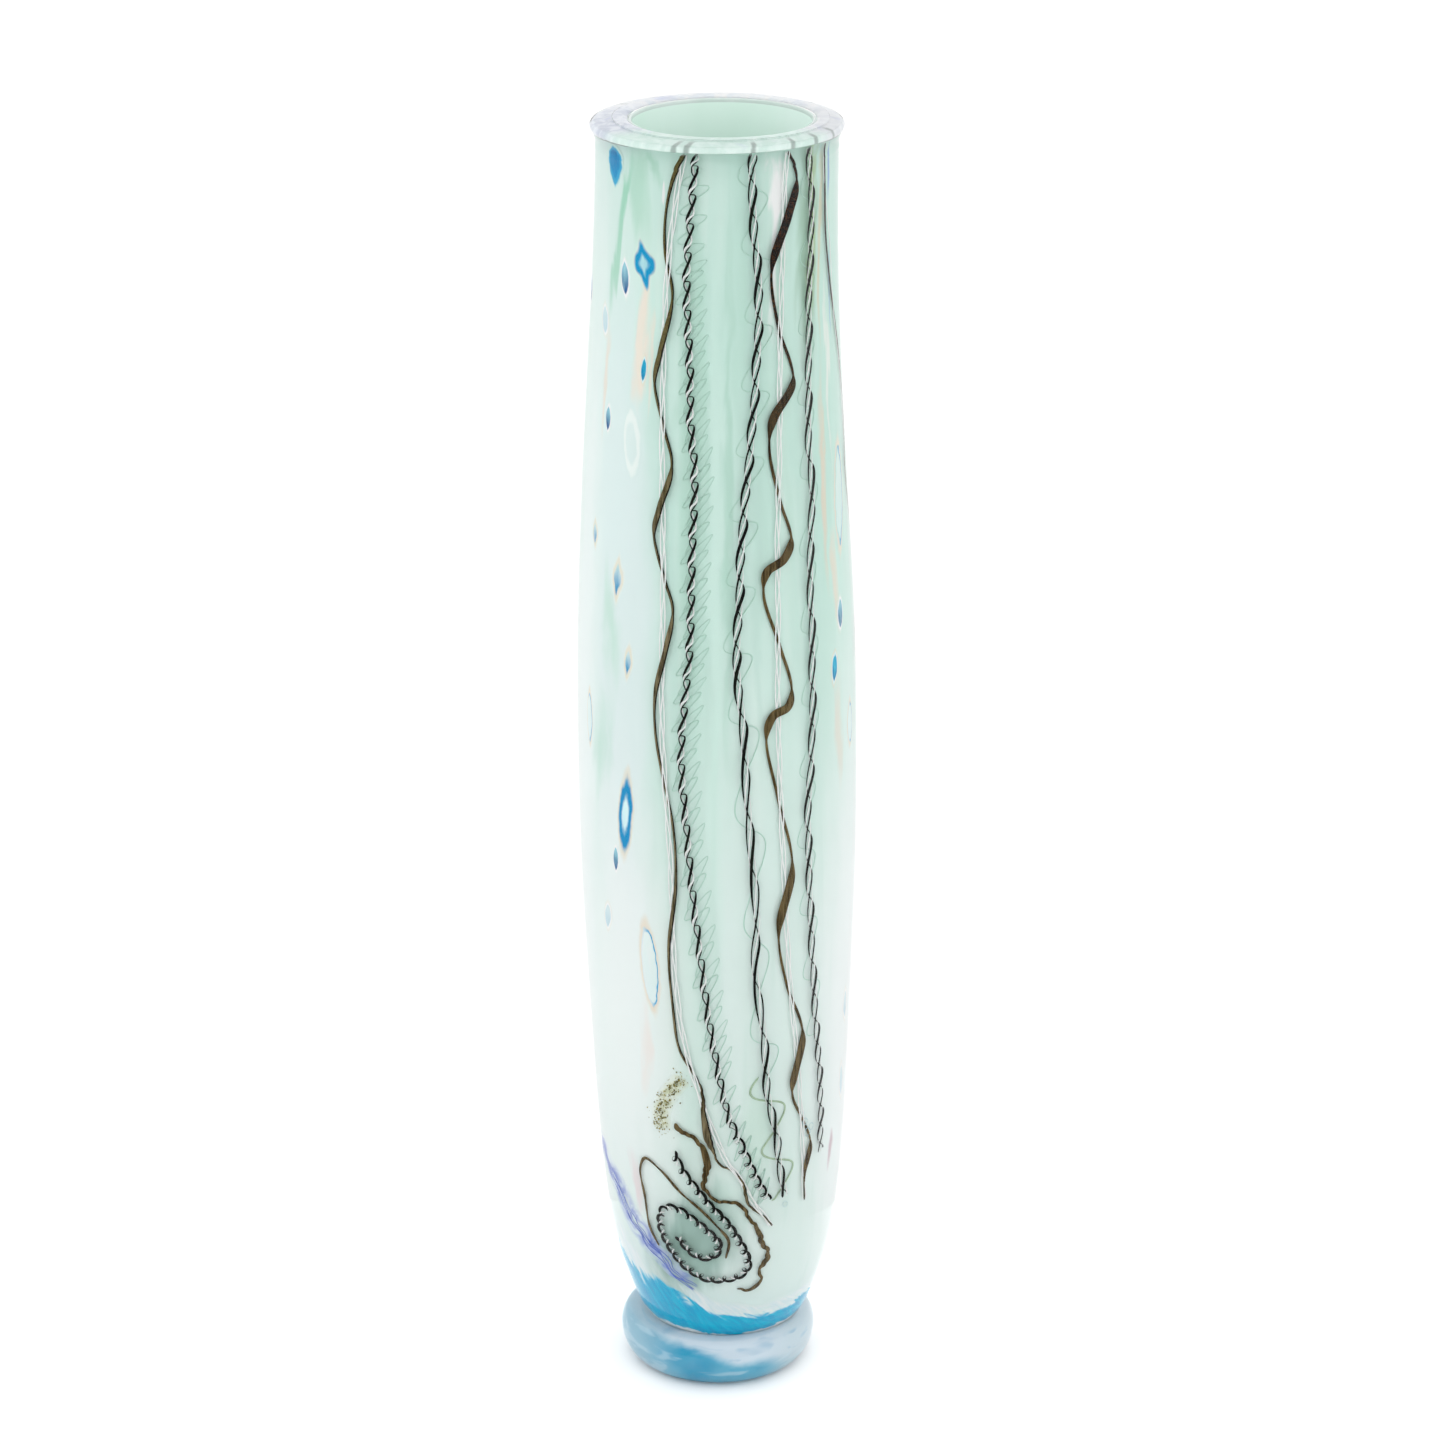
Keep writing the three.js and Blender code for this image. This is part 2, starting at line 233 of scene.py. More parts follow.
def opal_radius(z):
    """The opal's outside, which leaves the CAD core's only near the mouth, where the opal thins out."""
    thinning = step_between(core_rows[-1, 0] - LIP_TAPER, core_rows[-1, 0], z)
    return core_radius(z) - thinning * (core_radius(z) - MOUTH_RADIUS - LIP_THICKNESS)


def outer_casing_rows():
    """The casing's outside, from its rings."""
    outside = []
    for z, middle, outer, _ in casing_rings:
        beside_core = outer > core_radius(z) + CASING_LEAST
        under_core = core_floor[0] - 1 * MM < z < core_rows[0, 0] + 1 * MM and outer < JOINT_WIDEST
        if (z < core_floor[0] or beside_core) and not under_core:
            outside.append((z, middle, outer))
    return np.array(outside)


casing_rows = outer_casing_rows()
TOP = cad_high[2] if abs(cad_high[2] - casing_rows[-1, 0]) < 2 * MM else casing_rows[-1, 0] + 0.4 * MM


def on_core(arc, z, lift):
    """A point that far out from the core's side. arc is how far round it is from the front, to the right."""
    turn = arc / core_radius(z)
    reach = core_radius(z) + lift
    x = reach * np.sin(turn) + core_middle(z)
    return np.stack(np.broadcast_arrays(x, -reach * np.cos(turn), z), axis=-1)


def outward(arc, z):
    turn = arc / core_radius(z)
    return np.stack([np.sin(turn), -np.cos(turn), 0 * turn], axis=-1)


def unrolled(points):
    """The arc from the front and the height of points near the core, as a two-column table."""
    z = points[:, 2]
    turn = np.unwrap(np.arctan2(points[:, 0] - core_middle(z), -points[:, 1]))
    return np.stack([turn * core_radius(z), z], axis=1)


def cane_path(node, step=0.4 * MM):
    """The line that a cane's node follows, from its top down, in arc and height, at even steps.

    The rings of corners across the node are found one after the other from the middle of one end."""
    points, faces = corners(node)
    near = [set() for _ in points]
    for a, b, c in faces:
        near[a] |= {b, c}
        near[b] |= {a, c}
        near[c] |= {a, b}
    for start in range(len(points)):
        layers, seen = [[start]], {start}
        while layers[-1]:
            ahead = set().union(*(near[i] for i in layers[-1])) - seen
            seen |= ahead
            layers.append(sorted(ahead))
        layers.pop()
        sizes = [len(layer) for layer in layers]
        if sizes[-1] == 1 and len(sizes) > 3 and len(set(sizes[1:-1])) == 1:
            break
    else:
        raise ValueError(f"no path through {node}")
    middles = np.array([points[layer].mean(axis=0) for layer in layers[1:-1]])
    if middles[0, 2] < middles[-1, 2]:
        middles = middles[::-1]
    return resampled(catmull(unrolled(middles)), step)


# ==== Meshes

def grid_faces(rows, columns):
    """Quads over rings of corners, from each ring to the next."""
    i = np.arange(rows - 1)[:, None] * columns
    j = np.arange(columns)[None, :]
    k = (j + 1) % columns
    return np.stack([i + j, i + k, i + columns + k, i + columns + j], axis=-1).reshape(-1, 4).tolist()


def fan(tip, ring, steps, flipped=False):
    """Triangles from one corner to the ring that starts at another."""
    pairs = [(ring + j, ring + (j + 1) % steps) for j in range(steps)]
    return [[tip, *(pair[::-1] if flipped else pair)] for pair in pairs]


def band(ring, other, steps):
    """Quads from one ring to another."""
    pairs = [(j, (j + 1) % steps) for j in range(steps)]
    return [[ring + j, ring + k, other + k, other + j] for j, k in pairs]


def capped_faces(rows, sides):
    """Quads over the rings of a tube, and its two ends."""
    ends = [list(range(sides)), list(range(rows * sides - 1, (rows - 1) * sides - 1, -1))]
    return [face[::-1] for face in grid_faces(rows, sides)] + ends


def grid_map(across, along):
    """The map of a grid of corners."""
    return np.stack(np.broadcast_arrays(across, along[:, None]), axis=-1).reshape(-1, 2)


def level_rings(z, middle, reach, steps):
    """The corners of level rings round the vase, each from the back."""
    turn = full_turn(steps, -math.pi)
    x = middle + reach * np.sin(turn)
    return np.stack([x, -reach * np.cos(turn), z + 0 * x], axis=-1).reshape(-1, 3)


def shell(material, outer, inner, shares, steps):
    """A closed shell round the vase. Each side of it is the height, middle and reach of its rings.

    Its map is the turn from the back and each ring's share."""
    points = np.concatenate([level_rings(*outer, steps), level_rings(*(row[::-1] for row in inner), steps)])
    rows = 2 * len(shares)
    faces = grid_faces(rows, steps) + band((rows - 1) * steps, 0, steps)
    places = grid_map(np.linspace(0, 1, steps, endpoint=False), np.concatenate([shares, shares[::-1]]))
    return points, faces, material, places


def tube(points, outs, half_width, half_depth, sides=10, taper=1.5):
    """A closed tube along a line: its corners and faces. outs say which way its depth goes."""
    along = unit(np.gradient(points, axis=0))
    side = unit(np.cross(along, outs))
    out = np.cross(side, along)
    run = lengths_along(points)
    near_end = np.clip(np.minimum(run, run[-1] - run) / (taper * MM), 0, 1)
    close = np.sqrt(np.clip(1 - (1 - near_end) ** 2, 0.02, 1))
    turn = full_turn(sides)[None, :, None]
    wide = (half_width * close)[:, None, None] * np.cos(turn) * side[:, None]
    deep = (half_depth * close)[:, None, None] * np.sin(turn) * out[:, None]
    return (points[:, None] + wide + deep).reshape(-1, 3), capped_faces(len(points), sides)


def strand(material, line, lateral, lift, half_width, half_depth=None, sides=10, taper=1.2, shift=0.0):
    """A tube beside a line on the core: that far to its side, that far out from the core, and that far on."""
    run = lengths_along(line)
    at = np.clip(run + shift, 0, run[-1])
    columns = (*line.T, *unit(np.gradient(line, axis=0)).T)
    arc, z, way_round, way_up = (np.interp(at, run, column) for column in columns)
    arc = arc - way_up * lateral
    z = np.minimum(z + way_round * lateral, TOP - CANE_COVER)
    depth = half_width if half_depth is None else half_depth
    return (*tube(on_core(arc, z, lift), outward(arc, z), half_width, depth, sides, taper), material)


SUNK = 0.06 * MM  # how far the edge of a thing laid on the opal goes into it
BURIED = 2.5 * SUNK  # and its underside


def sheet_on_core(material, line, half_width, lift=0.3 * MM, across=12):
    """A thin veil along a line on the core, with a map of its own: across it and along it."""
    along = unit(np.gradient(line, axis=0))
    side = np.stack([-along[:, 1], along[:, 0]], axis=1)
    share = np.linspace(-1, 1, across)
    spread = line[:, None] + side[:, None] * (half_width * share)[:, None]
    ends = np.minimum(np.linspace(0, 8, len(line)), np.linspace(8, 0, len(line))).clip(0, 1)
    outer = on_core(spread[..., 0], spread[..., 1], (1 - share ** 2) * ends[:, None] * lift - SUNK)
    inner = on_core(spread[..., 0], spread[..., 1], -BURIED)
    loop = np.concatenate([outer, inner[:, ::-1]], axis=1)
    run = lengths_along(line)
    places = grid_map(np.concatenate([share, share[::-1]]) / 2 + 0.5, run / run[-1])
    return loop.reshape(-1, 3), capped_faces(len(line), 2 * across), material, places


def turned(rows, steps=ROUND_STEPS):
    """A closed turned body from rows of height, middle and radius. The first and last rows are one corner."""
    rows = np.asarray(rows, float)
    z, middle, reach = rows[1:-1].T[:, :, None]
    ring = level_rings(z, middle, reach, steps)
    tips = [[rows[end, 1], 0, rows[end, 0]] for end in (0, -1)]
    faces = grid_faces(len(z), steps) + fan(len(ring), 0, steps, True)
    return np.concatenate([ring, tips]), faces + fan(len(ring) + 1, (len(z) - 1) * steps, steps)


def add_piece(name, parts, nodes):
    """A piece made of parts, each its corners, faces and material, and a map of its own if it has one.

    Every piece also has a map of where it is round the vase, so that it can blend into the opal."""
    count, points, faces, kinds, materials, places = 0, [], [], [], [], []
    for part_points, part_faces, material, *own in parts:
        if material not in materials:
            materials.append(material)
        points.append(part_points)
        faces += [[i + count for i in face] for face in part_faces]
        kinds += [materials.index(material)] * len(part_faces)
        places.append(own[0] if own else np.zeros((len(part_points), 2)))
        count += len(part_points)
    points = np.concatenate(points)
    mesh = bpy.data.meshes.new(name)
    mesh.from_pydata(points.tolist(), [], faces)
    mesh.polygons.foreach_set("use_smooth", [True] * len(faces))
    loops = np.empty(len(mesh.loops), int)
    mesh.loops.foreach_get("vertex_index", loops)
    maps = {"Place": around_map(mesh, points, loops)}
    if any(len(part) > 3 for part in parts):
        maps["Own"] = np.concatenate(places)[loops]
    for map_name, spots in maps.items():
        mesh.uv_layers.new(name=map_name).data.foreach_set("uv", spots.astype(np.float32).reshape(-1))
    piece = bpy.data.objects.new(name, mesh)
    repaint(piece, materials, kinds)
    mesh.validate()
    mesh.update()
    bpy.context.scene.collection.objects.link(piece)
    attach(piece, BODY)
    if nodes:
        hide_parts(*nodes)
    return piece


def repaint(piece, materials, kinds):
    """More materials for a piece, and the number of each face's material."""
    for material in materials:
        piece.data.materials.append(material)
    piece.data.polygons.foreach_set("material_index", kinds)


def around_map(mesh, points, loops):
    """Each face corner's turn round the vase from the back, and height, both from 0 to 1."""
    z = points[:, 2]
    u = (np.arctan2(points[:, 0] - core_middle(z), -points[:, 1]) / (2 * math.pi) + 0.5)[loops]
    starts, totals = (np.empty(len(mesh.polygons), int) for _ in range(2))
    mesh.polygons.foreach_get("loop_start", starts)
    mesh.polygons.foreach_get("loop_total", totals)
    widest = np.maximum.reduceat(u, starts)[np.repeat(np.arange(len(starts)), totals)]
    return np.stack([np.where((widest > 0.9) & (u < 0.1), u + 1, u), z[loops] / TOP], axis=1)


# ==== Materials

def linear(colour):
    """A seen colour as light."""
    c = np.asarray(colour, float) / 255
    return np.where(c <= 0.04045, c / 12.92, ((c + 0.055) / 1.055) ** 2.4)


def under_glass(colour, light=OPAL_LIGHT):
    """The paint that looks like a seen colour under the clear glass."""
    return np.clip((linear(colour) - GLASS_SHINE) / light, 0.001, 0.97)


class Nodes:
    """Short ways to add nodes to a tree."""

    def __init__(self, tree, tone=under_glass):
        self.tree = tree
        self.tone = tone

    def colour(self, value):
        """A seen colour for a socket. A socket's output stays as it is."""
        return (*self.tone(value), 1.0) if isinstance(value, tuple) else value

    def feed(self, socket, value):
        if isinstance(value, bpy.types.NodeSocket):
            self.tree.links.new(value, socket)
        elif value is not None:
            socket.default_value = value

    def node(self, kind, *values, **settings):
        """A node with its settings and the values of its first sockets."""
        made = self.tree.nodes.new("ShaderNode" + kind)
        for name, value in settings.items():
            setattr(made, name, value)
        for place, value in enumerate(values):
            self.feed(made.inputs[place], value)
        return made

    def math(self, operation, a, b=None, clamp=False):
        return self.node("Math", a, b, operation=operation, use_clamp=clamp).outputs[0]

    def plus(self, a, b):
        return self.math("ADD", a, b)

    def minus(self, a, b):
        return self.math("SUBTRACT", a, b)

    def times(self, a, b):
        return self.math("MULTIPLY", a, b)

    def off(self, value, middle):
        """How far a number is from another."""
        return self.math("ABSOLUTE", self.minus(value, middle))

    def shaken(self, value, noise, much):
        return self.plus(value, self.times(self.minus(noise, 0.5), much))

    def vector(self, operation, a, b=None):
        made = self.node("VectorMath", a, b, operation=operation)
        return made.outputs["Value" if operation in ("LENGTH", "DOT_PRODUCT") else "Vector"]

    def jostled(self, place, noise, reach):
        """A place moved at random."""
        shift = self.vector("MULTIPLY", self.vector("SUBTRACT", noise, (0.5, 0.5, 0.5)), reach)
        return self.vector("ADD", place, shift)

    def mix(self, share, a, b):
        """Colour a turning to b. Either may be a seen colour."""
        made = self.node("Mix", data_type="RGBA")
        self.feed(made.inputs["Factor"], share)
        self.feed(made.inputs[6], self.colour(a))
        self.feed(made.inputs[7], self.colour(b))
        return made.outputs[2]

    def ramp(self, value, low, high, to_low=0.0, to_high=1.0):
        """A number taken smoothly from one range to another."""
        return self.node("MapRange", value, low, high, to_low, to_high,
                         interpolation_type="SMOOTHSTEP").outputs[0]

    def blend(self, value, low, high, a, b, share=1.0):
        """Colour a turning to b by that share as a number goes from low to high."""
        return self.mix(self.ramp(value, low, high, 0.0, share), a, b)

    def noise(self, place, scale, detail=2.0, twist=0.0, colour=False):
        """Random clouds. scale is how many go into a metre, or into a unit of place, each way."""
        made = self.node("TexNoise", self.node("Mapping", place, None, None, scale).outputs[0])
        for name, value in (("Scale", 1.0), ("Detail", detail), ("Distortion", twist)):
            made.inputs[name].default_value = value
        return made.outputs["Color" if colour else "Fac"]

    def body(self):
        """Where a point is on the object, in metres."""
        return self.node("TexCoord").outputs["Object"]

    def grain(self, scale, *look, **more):
        """Random clouds in the solid. scale is how many go into a metre each way."""
        return self.noise(self.body(), scale, *look, **more)

    def map(self, name="Place"):
        return self.node("UVMap", uv_map=name).outputs[0]

    def split(self, vector):
        return self.node("SeparateXYZ", vector).outputs

    def height(self):
        return self.split(self.body())[2]

    def join(self, x, y):
        return self.node("CombineXYZ", x, y).outputs[0]

    def opal(self):
        """The opal core's own colour at this place."""
        return self.node("Group", node_tree=opal_colours).outputs[0]


class Paint(Nodes):
    """A material and its nodes."""

    def __init__(self, name, tone=under_glass, gloss=0.0, roughness=1.0):
        self.material = bpy.data.materials.new(name)
        self.material.use_nodes = True
        super().__init__(self.material.node_tree, tone)
        self.shader = self.tree.nodes["Principled BSDF"]
        self.shader.inputs["Specular IOR Level"].default_value = gloss
        self.shader.inputs["Roughness"].default_value = roughness

    def bump(self, height, depth):
        """Small relief of that depth in metres."""
        made = self.node("Bump")
        made.inputs["Strength"].default_value = 1.0
        made.inputs["Distance"].default_value = depth
        self.feed(made.inputs["Height"], height)
        self.feed(self.shader.inputs["Normal"], made.outputs[0])

    def finish(self, colour=None):
        self.feed(self.shader.inputs["Base Color"], colour)
        return self.material


def core_map(paint):
    """Arc in mm from the front and height in mm, a little ragged, so that patches have natural edges."""
    across, up, _ = paint.split(paint.map())
    arc = paint.times(paint.minus(across, 0.5), 360 * MM_PER_DEGREE)
    place = paint.join(arc, paint.times(up, TOP / MM))
    return paint.jostled(place, paint.noise(place, (0.16, 0.035, 1), 3.0, 0.4, colour=True), (9.0, 26.0, 0.0))


def patch(paint, under, place, turn, height, half_width, half_height, colour, share, soft, lean=0):
    """A soft-edged oval of another colour. turn and lean are in degrees, the rest in mm."""
    moved = paint.node("Mapping", place, (turn * MM_PER_DEGREE, height, 0), (0, 0, math.radians(lean)),
                       (half_width, half_height, 1), vector_type="TEXTURE")
    away = paint.vector("LENGTH", moved.outputs[0])
    return paint.blend(away, 1.0, 1.0 - soft, under, colour, share)


# Patches in the opal glass: degrees from the front, height, half width and half height in mm, seen
# colour, how strong it is, how much of it is soft edge, and its lean in degrees if it has one.
OPAL_PATCHES = [
    (-78, 215, 30, 260, (222, 234, 231), 0.85, 0.75),  # pale left side
    (-86, 215, 12, 260, (232, 240, 239), 0.7, 0.9),
    (-52, 250, 17, 115, (217, 229, 229), 0.85, 0.7),
    (-62, 310, 14, 75, (217, 231, 230), 0.8, 0.8),
    (-50, 140, 18, 90, (230, 235, 235), 0.85, 0.8),
    (-30, 130, 9, 80, (224, 233, 230), 0.6, 0.8),
    (82, 120, 26, 150, (233, 239, 239), 0.85, 0.8),  # pale right side, low
    (54, 375, 7, 54, (160, 192, 172), 0.9, 0.7),
    (-60, 105, 24, 90, (231, 238, 236), 0.7, 0.8),
    (-14, 315, 6.0, 115, (185, 217, 204), 0.8, 0.6),  # greener column beside the left cane
    (-9, 180, 5, 110, (200, 224, 215), 0.45, 0.8),
    # painted light: a lighter column down the front, and painted shade in the darker band just right of it
    (-2, 270, 3.4, 150, (206, 231, 222), 0.7, 0.8),
    (5, 300, 2.2, 120, (178, 212, 198), 0.75, 0.9),
    (11, 355, 3.5, 55, (188, 219, 207), 0.6, 0.9),
    (19, 270, 2.6, 80, (190, 217, 208), 0.55, 0.9),
    (27, 360, 2.4, 60, (196, 222, 212), 0.6, 0.9),
    (37, 330, 3.2, 100, (194, 220, 209), 0.55, 0.9),
    (48, 260, 4, 130, (196, 222, 213), 0.5, 0.9),
    (58, 384, 3.2, 40, (176, 196, 152), 0.9, 0.8),
    (66, 372, 2.0, 44, (210, 204, 178), 0.8, 0.8),
    (75, 392, 1.3, 15, (126, 158, 212), 0.8, 0.7),
    (78, 356, 1.2, 18, (150, 184, 216), 0.7, 0.8),
    (72, 330, 1.6, 40, (228, 232, 226), 0.8, 0.8),
    (-50, 390, 6, 26, (176, 214, 196), 0.8, 0.9, 8),
    (-61, 385, 3, 22, (150, 205, 180), 0.85, 0.8, -12),
    (-66, 366, 2.6, 26, (158, 207, 184), 0.8, 0.8, -10),
    (-41, 396, 5, 9, (172, 211, 193), 0.8, 0.9, 40),
    (-60, 252, 5, 26, (184, 219, 203), 0.6, 0.9, 5),
    (-66, 214, 6, 24, (182, 217, 202), 0.6, 0.9, -6),
    (-45, 345, 3.6, 28, (233, 222, 209), 0.9, 0.6, -3),
    (-39, 338, 1.1, 22, (232, 222, 208), 0.7, 0.8),
    (-74, 328, 2.2, 20, (228, 216, 202), 0.7, 0.8, -4),
    (30, 388, 3.6, 14, (253, 253, 253), 1.0, 0.5),
    (31, 366, 2.4, 24, (244, 247, 245), 0.9, 0.7),
    (34, 330, 0.8, 50, (232, 238, 234), 0.7, 0.9),
    (-32, 391, 0.8, 4, (246, 246, 244), 0.9, 0.5),
    (64, 300, 1.8, 40, (221, 208, 190), 0.8, 0.7),
    (71, 268, 2.4, 20, (226, 214, 198), 0.7, 0.8),
    (69, 219, 3.0, 22, (222, 213, 200), 0.6, 0.8),
    (-20, 51, 17.5, 29, (158, 186, 177), 1.0, 0.55, -32),  # behind the coiled cane
    (-25, 50, 8, 14, (128, 156, 146), 0.85, 0.9, -32),
    (-52, 73, 3.6, 15, (228, 212, 214), 0.7, 0.9, 6),
    (-40, 120, 2.6, 18, (233, 220, 214), 0.5, 0.9),
    (72, 78, 2.0, 8, (192, 160, 172), 0.7, 0.8),
    (18, 92, 7, 26, (200, 224, 212), 0.6, 0.8),
    (6, 68, 9, 16, (197, 221, 212), 0.5, 0.8),
    (150, 300, 14, 120, (182, 217, 203), 0.6, 0.8),  # the back is guessed to be like the front
    (-150, 200, 12, 140, (186, 219, 206), 0.6, 0.8),
    (-118, 320, 6, 60, (170, 212, 192), 0.6, 0.9),
    (120, 120, 12, 70, (226, 236, 233), 0.6, 0.8),
]


def make_opal_colours():
    """The opal's clouds, veins and patches, as a group that every piece laid on the opal can blend into."""
    tree = bpy.data.node_groups.new("opal_colours", "ShaderNodeTree")
    tree.interface.new_socket(name="Color", in_out="OUTPUT", socket_type="NodeSocketColor")
    paint = Nodes(tree)
    place = core_map(paint)
    clouds = paint.grain((34, 34, 5), 3.0, 0.3)
    veins = paint.grain((150, 150, 9), 2.0, 0.2)
    top = paint.blend(clouds, 0.35, 0.68, (193, 222, 212), (206, 229, 221))
    low = paint.blend(clouds, 0.3, 0.7, (207, 226, 219), (218, 232, 228))
    colour = paint.blend(paint.height(), 0.30, 0.12, top, low)
    colour = paint.blend(veins, 0.52, 0.72, colour, (221, 235, 229), 0.35)
    colour = paint.blend(veins, 0.45, 0.28, colour, (184, 214, 203), 0.3)
    for row in OPAL_PATCHES:
        colour = patch(paint, colour, place, *row)
    paint.feed(tree.nodes.new("NodeGroupOutput").inputs[0], colour)
    return tree


opal_colours = make_opal_colours()


def opal_outside():
    paint = Paint("mint_opal_glass")
    return paint.finish(paint.opal())


def opal_inside():
    """The bore has the same clouds, and nothing lies over it."""
    paint = Paint("mint_opal_bore", linear, 0.4, 0.25)
    clouds = paint.grain((30, 30, 7), 3.0, 0.3)
    return paint.finish(paint.blend(clouds, 0.3, 0.7, (211, 233, 223), (222, 238, 232)))


def opal_lip():
    paint = Paint("mint_opal_lip", linear, 0.5, 0.15)
    clouds = paint.grain((120, 120, 60), 3.0, 0.3)
    return paint.finish(paint.blend(clouds, 0.35, 0.65, (188, 202, 197), (198, 208, 205)))


def clear_glass(name, tint, ripple_depth, mirror):
    """Clear glass with faint ripples. mirror is how much of the light it mirrors."""
    paint = Paint(name, linear, 0.5, 0.0)
    paint.shader.inputs["Transmission Weight"].default_value = 1.0
    paint.shader.inputs["IOR"].default_value = GLASS_IOR
    paint.shader.inputs["Base Color"].default_value = paint.colour(tint)
    paint.shader.inputs["Specular Tint"].default_value = (mirror, mirror, mirror, 1.0)
    paint.bump(paint.grain((60, 60, 22), 1.0), ripple_depth)
    return paint.finish()


def frosted(paint, colour):
    """The canes fade to grey where they run into the rim, which was melted smooth."""
    return paint.finish(paint.blend(paint.height(), 0.4015, 0.4035, colour, (196, 210, 205), 0.6))


def cane_glass(name, colour, streak, share=0.5, scale=900):
    """Coloured cane glass with fine lengthwise changes of shade."""
    paint = Paint(name)
    fine = paint.grain((scale, scale, scale * 0.08))
    return frosted(paint, paint.blend(fine, 0.35, 0.7, colour, streak, share))


def ribbon_glass(name, dark, specks, low_colour):
    """Ribbon glass with fine specks and lengthwise streaks. It is thinner and paler lower down."""
    paint = Paint(name)
    streaks = paint.grain((1400, 1400, 110), 2.0, 0.3)
    dots = paint.grain((2600, 2600, 1700), 1.0)
    top = paint.blend(dots, 0.5, 0.68, dark, specks)
    low = paint.blend(streaks, 0.35, 0.65, low_colour, tuple(0.62 * c for c in low_colour))
    colour = paint.blend(paint.height(), 0.37, 0.25, top, low)
    return frosted(paint, paint.blend(streaks, 0.55, 0.75, colour, tuple(0.6 * c for c in dark), 0.4))


def veil_glass(name, colour, streak, share, stretch):
    """A thin cloud of colour in the glass that fades out at its edges."""
    paint = Paint(name)
    place = paint.map("Own")
    across, along, _ = paint.split(place)
    clouds = paint.noise(place, stretch, 3.0, 0.5)
    sides = paint.ramp(paint.off(across, 0.5), 0.5, 0.1)
    ends = paint.ramp(paint.off(along, 0.5), 0.5, 0.4)
    cover = paint.times(paint.times(sides, ends), paint.ramp(clouds, 0.28, 0.55, 0.2, share))
    return paint.finish(paint.mix(cover, paint.opal(), paint.blend(clouds, 0.4, 0.65, streak, colour)))


def slice_glass(name, top, bottom, ring, halo, ring_at=0.6, ring_width=0.1, centre_share=1.0, halo_share=0.7,
                one_side=0.0):
    """A cut end of a cane, from its middle out: its core, a ring, and a halo that fades into the opal.

    one_side makes the ring strong on the right only."""
    paint = Paint(name)
    opal = paint.opal()
    place = paint.vector("SUBTRACT", paint.vector("MULTIPLY", paint.map("Own"), (2, 2, 0)), (1, 1, 0))
    place = paint.jostled(place, paint.grain((420, 420, 200), colour=True), (0.3, 0.3, 0.0))
    away = paint.vector("LENGTH", place)
    right, up, _ = paint.split(place)
    fine = paint.grain((700, 700, 160))
    inside = paint.blend(up, -0.5, 0.5, bottom, top)
    # painted highlight: fine lighter flecks over the slice's core
    inside = paint.blend(fine, 0.4, 0.75, inside, tuple(min(255, c + 60) for c in top), 0.35)
    inside = paint.mix(centre_share, opal, inside)
    round_ring = paint.mix(paint.ramp(right, -0.5, 0.4, 1.0 - one_side, 1.0), opal, ring)
    colour = paint.blend(away, ring_at - ring_width, ring_at, inside, round_ring)
    colour = paint.blend(away, ring_at + 0.6 * ring_width, ring_at + 1.6 * ring_width, colour,
                         paint.mix(halo_share, opal, halo))
    return paint.finish(paint.blend(away, ring_at + 1.2 * ring_width, 0.93, colour, opal))


def collar_glass():
    """Turquoise laid on by a brush: solid low down, ragged at both edges, with white cloud at its edges."""
    paint = Paint("turquoise_collar_glass")
    across, up, _ = paint.split(paint.map("Own"))
    along_brush = paint.join(paint.plus(across, paint.times(up, 0.1)), up)
    brush = paint.noise(along_brush, (15, 2.0, 1), 5.0, 1.4)
    bristles = paint.noise(along_brush, (90, 5, 1), 3.0, 0.6)
    level = paint.shaken(paint.shaken(up, brush, 0.7), bristles, 0.12)
    blue = paint.blend(bristles, 0.35, 0.65, (0, 164, 206), (0, 184, 216))
    blue = paint.blend(bristles, 0.62, 0.74, blue, (60, 190, 224), 0.45)
    blue = paint.blend(level, 0.5, 0.66, blue, (96, 196, 224), 0.6)
    blue = paint.blend(across, 0.33, 0.24, blue, (110, 190, 220), 0.5)
    white = paint.blend(bristles, 0.3, 0.7, (214, 228, 232), (236, 242, 244))
    front = paint.ramp(paint.off(across, 0.51), 0.1, 0.03, 0.0, -0.06)
    low = paint.minus(paint.shaken(up, brush, 0.3), front)
    blue = paint.blend(low, 0.11, 0.07, blue, white)
    cloud = paint.mix(paint.ramp(brush, 0.4, 0.6, 0.2, 0.8), paint.opal(), white)
    colour = paint.blend(level, 0.56, 0.66, blue, cloud)
    return paint.finish(paint.blend(up, 0.78, 0.97, colour, paint.opal()))


def foot_cloud():
    """The milky blue inside the foot: bluest low at the front, white near the body and lighter to the right,
    partly white cloud and partly a painted highlight.
    """
    paint = Paint("foot_cloud_glass", lambda colour: under_glass(colour, FOOT_LIGHT))
    spot = paint.body()
    x, _, z = paint.split(spot)
    clouds = paint.noise(spot, (45, 45, 90), 4.0, 0.6)
    streaks = paint.noise(spot, (70, 70, 260), 2.0, 0.4)
    # whiter towards the top and the right: partly white cloud, partly a painted highlight
    pale = paint.plus(paint.plus(paint.times(z, 62.0), paint.times(x, 12.0)), paint.times(clouds, 0.7))
    colour = paint.blend(clouds, 0.35, 0.65, (66, 170, 203), (110, 190, 214))
    colour = paint.blend(pale, 0.95, 1.2, colour, (224, 233, 240))
    colour = paint.blend(x, -0.010, -0.026, colour, (186, 212, 222), 0.7)
    # painted highlight: lighter on the right side
    colour = paint.blend(x, 0.012, 0.026, colour, (212, 224, 228), 0.75)
    colour = paint.blend(streaks, 0.56, 0.68, colour, (214, 232, 240), 0.5)
    return paint.finish(paint.blend(streaks, 0.42, 0.3, colour, (84, 166, 200), 0.35))


def joined_face():
    """Where the body and the foot are melted together, light goes straight through."""
    material = bpy.data.materials.new("melted_joint")
    material.use_nodes = True
    tree = material.node_tree
    tree.nodes.remove(tree.nodes["Principled BSDF"])
    through = tree.nodes.new("ShaderNodeBsdfTransparent")
    tree.links.new(through.outputs[0], tree.nodes["Material Output"].inputs["Surface"])
    return material


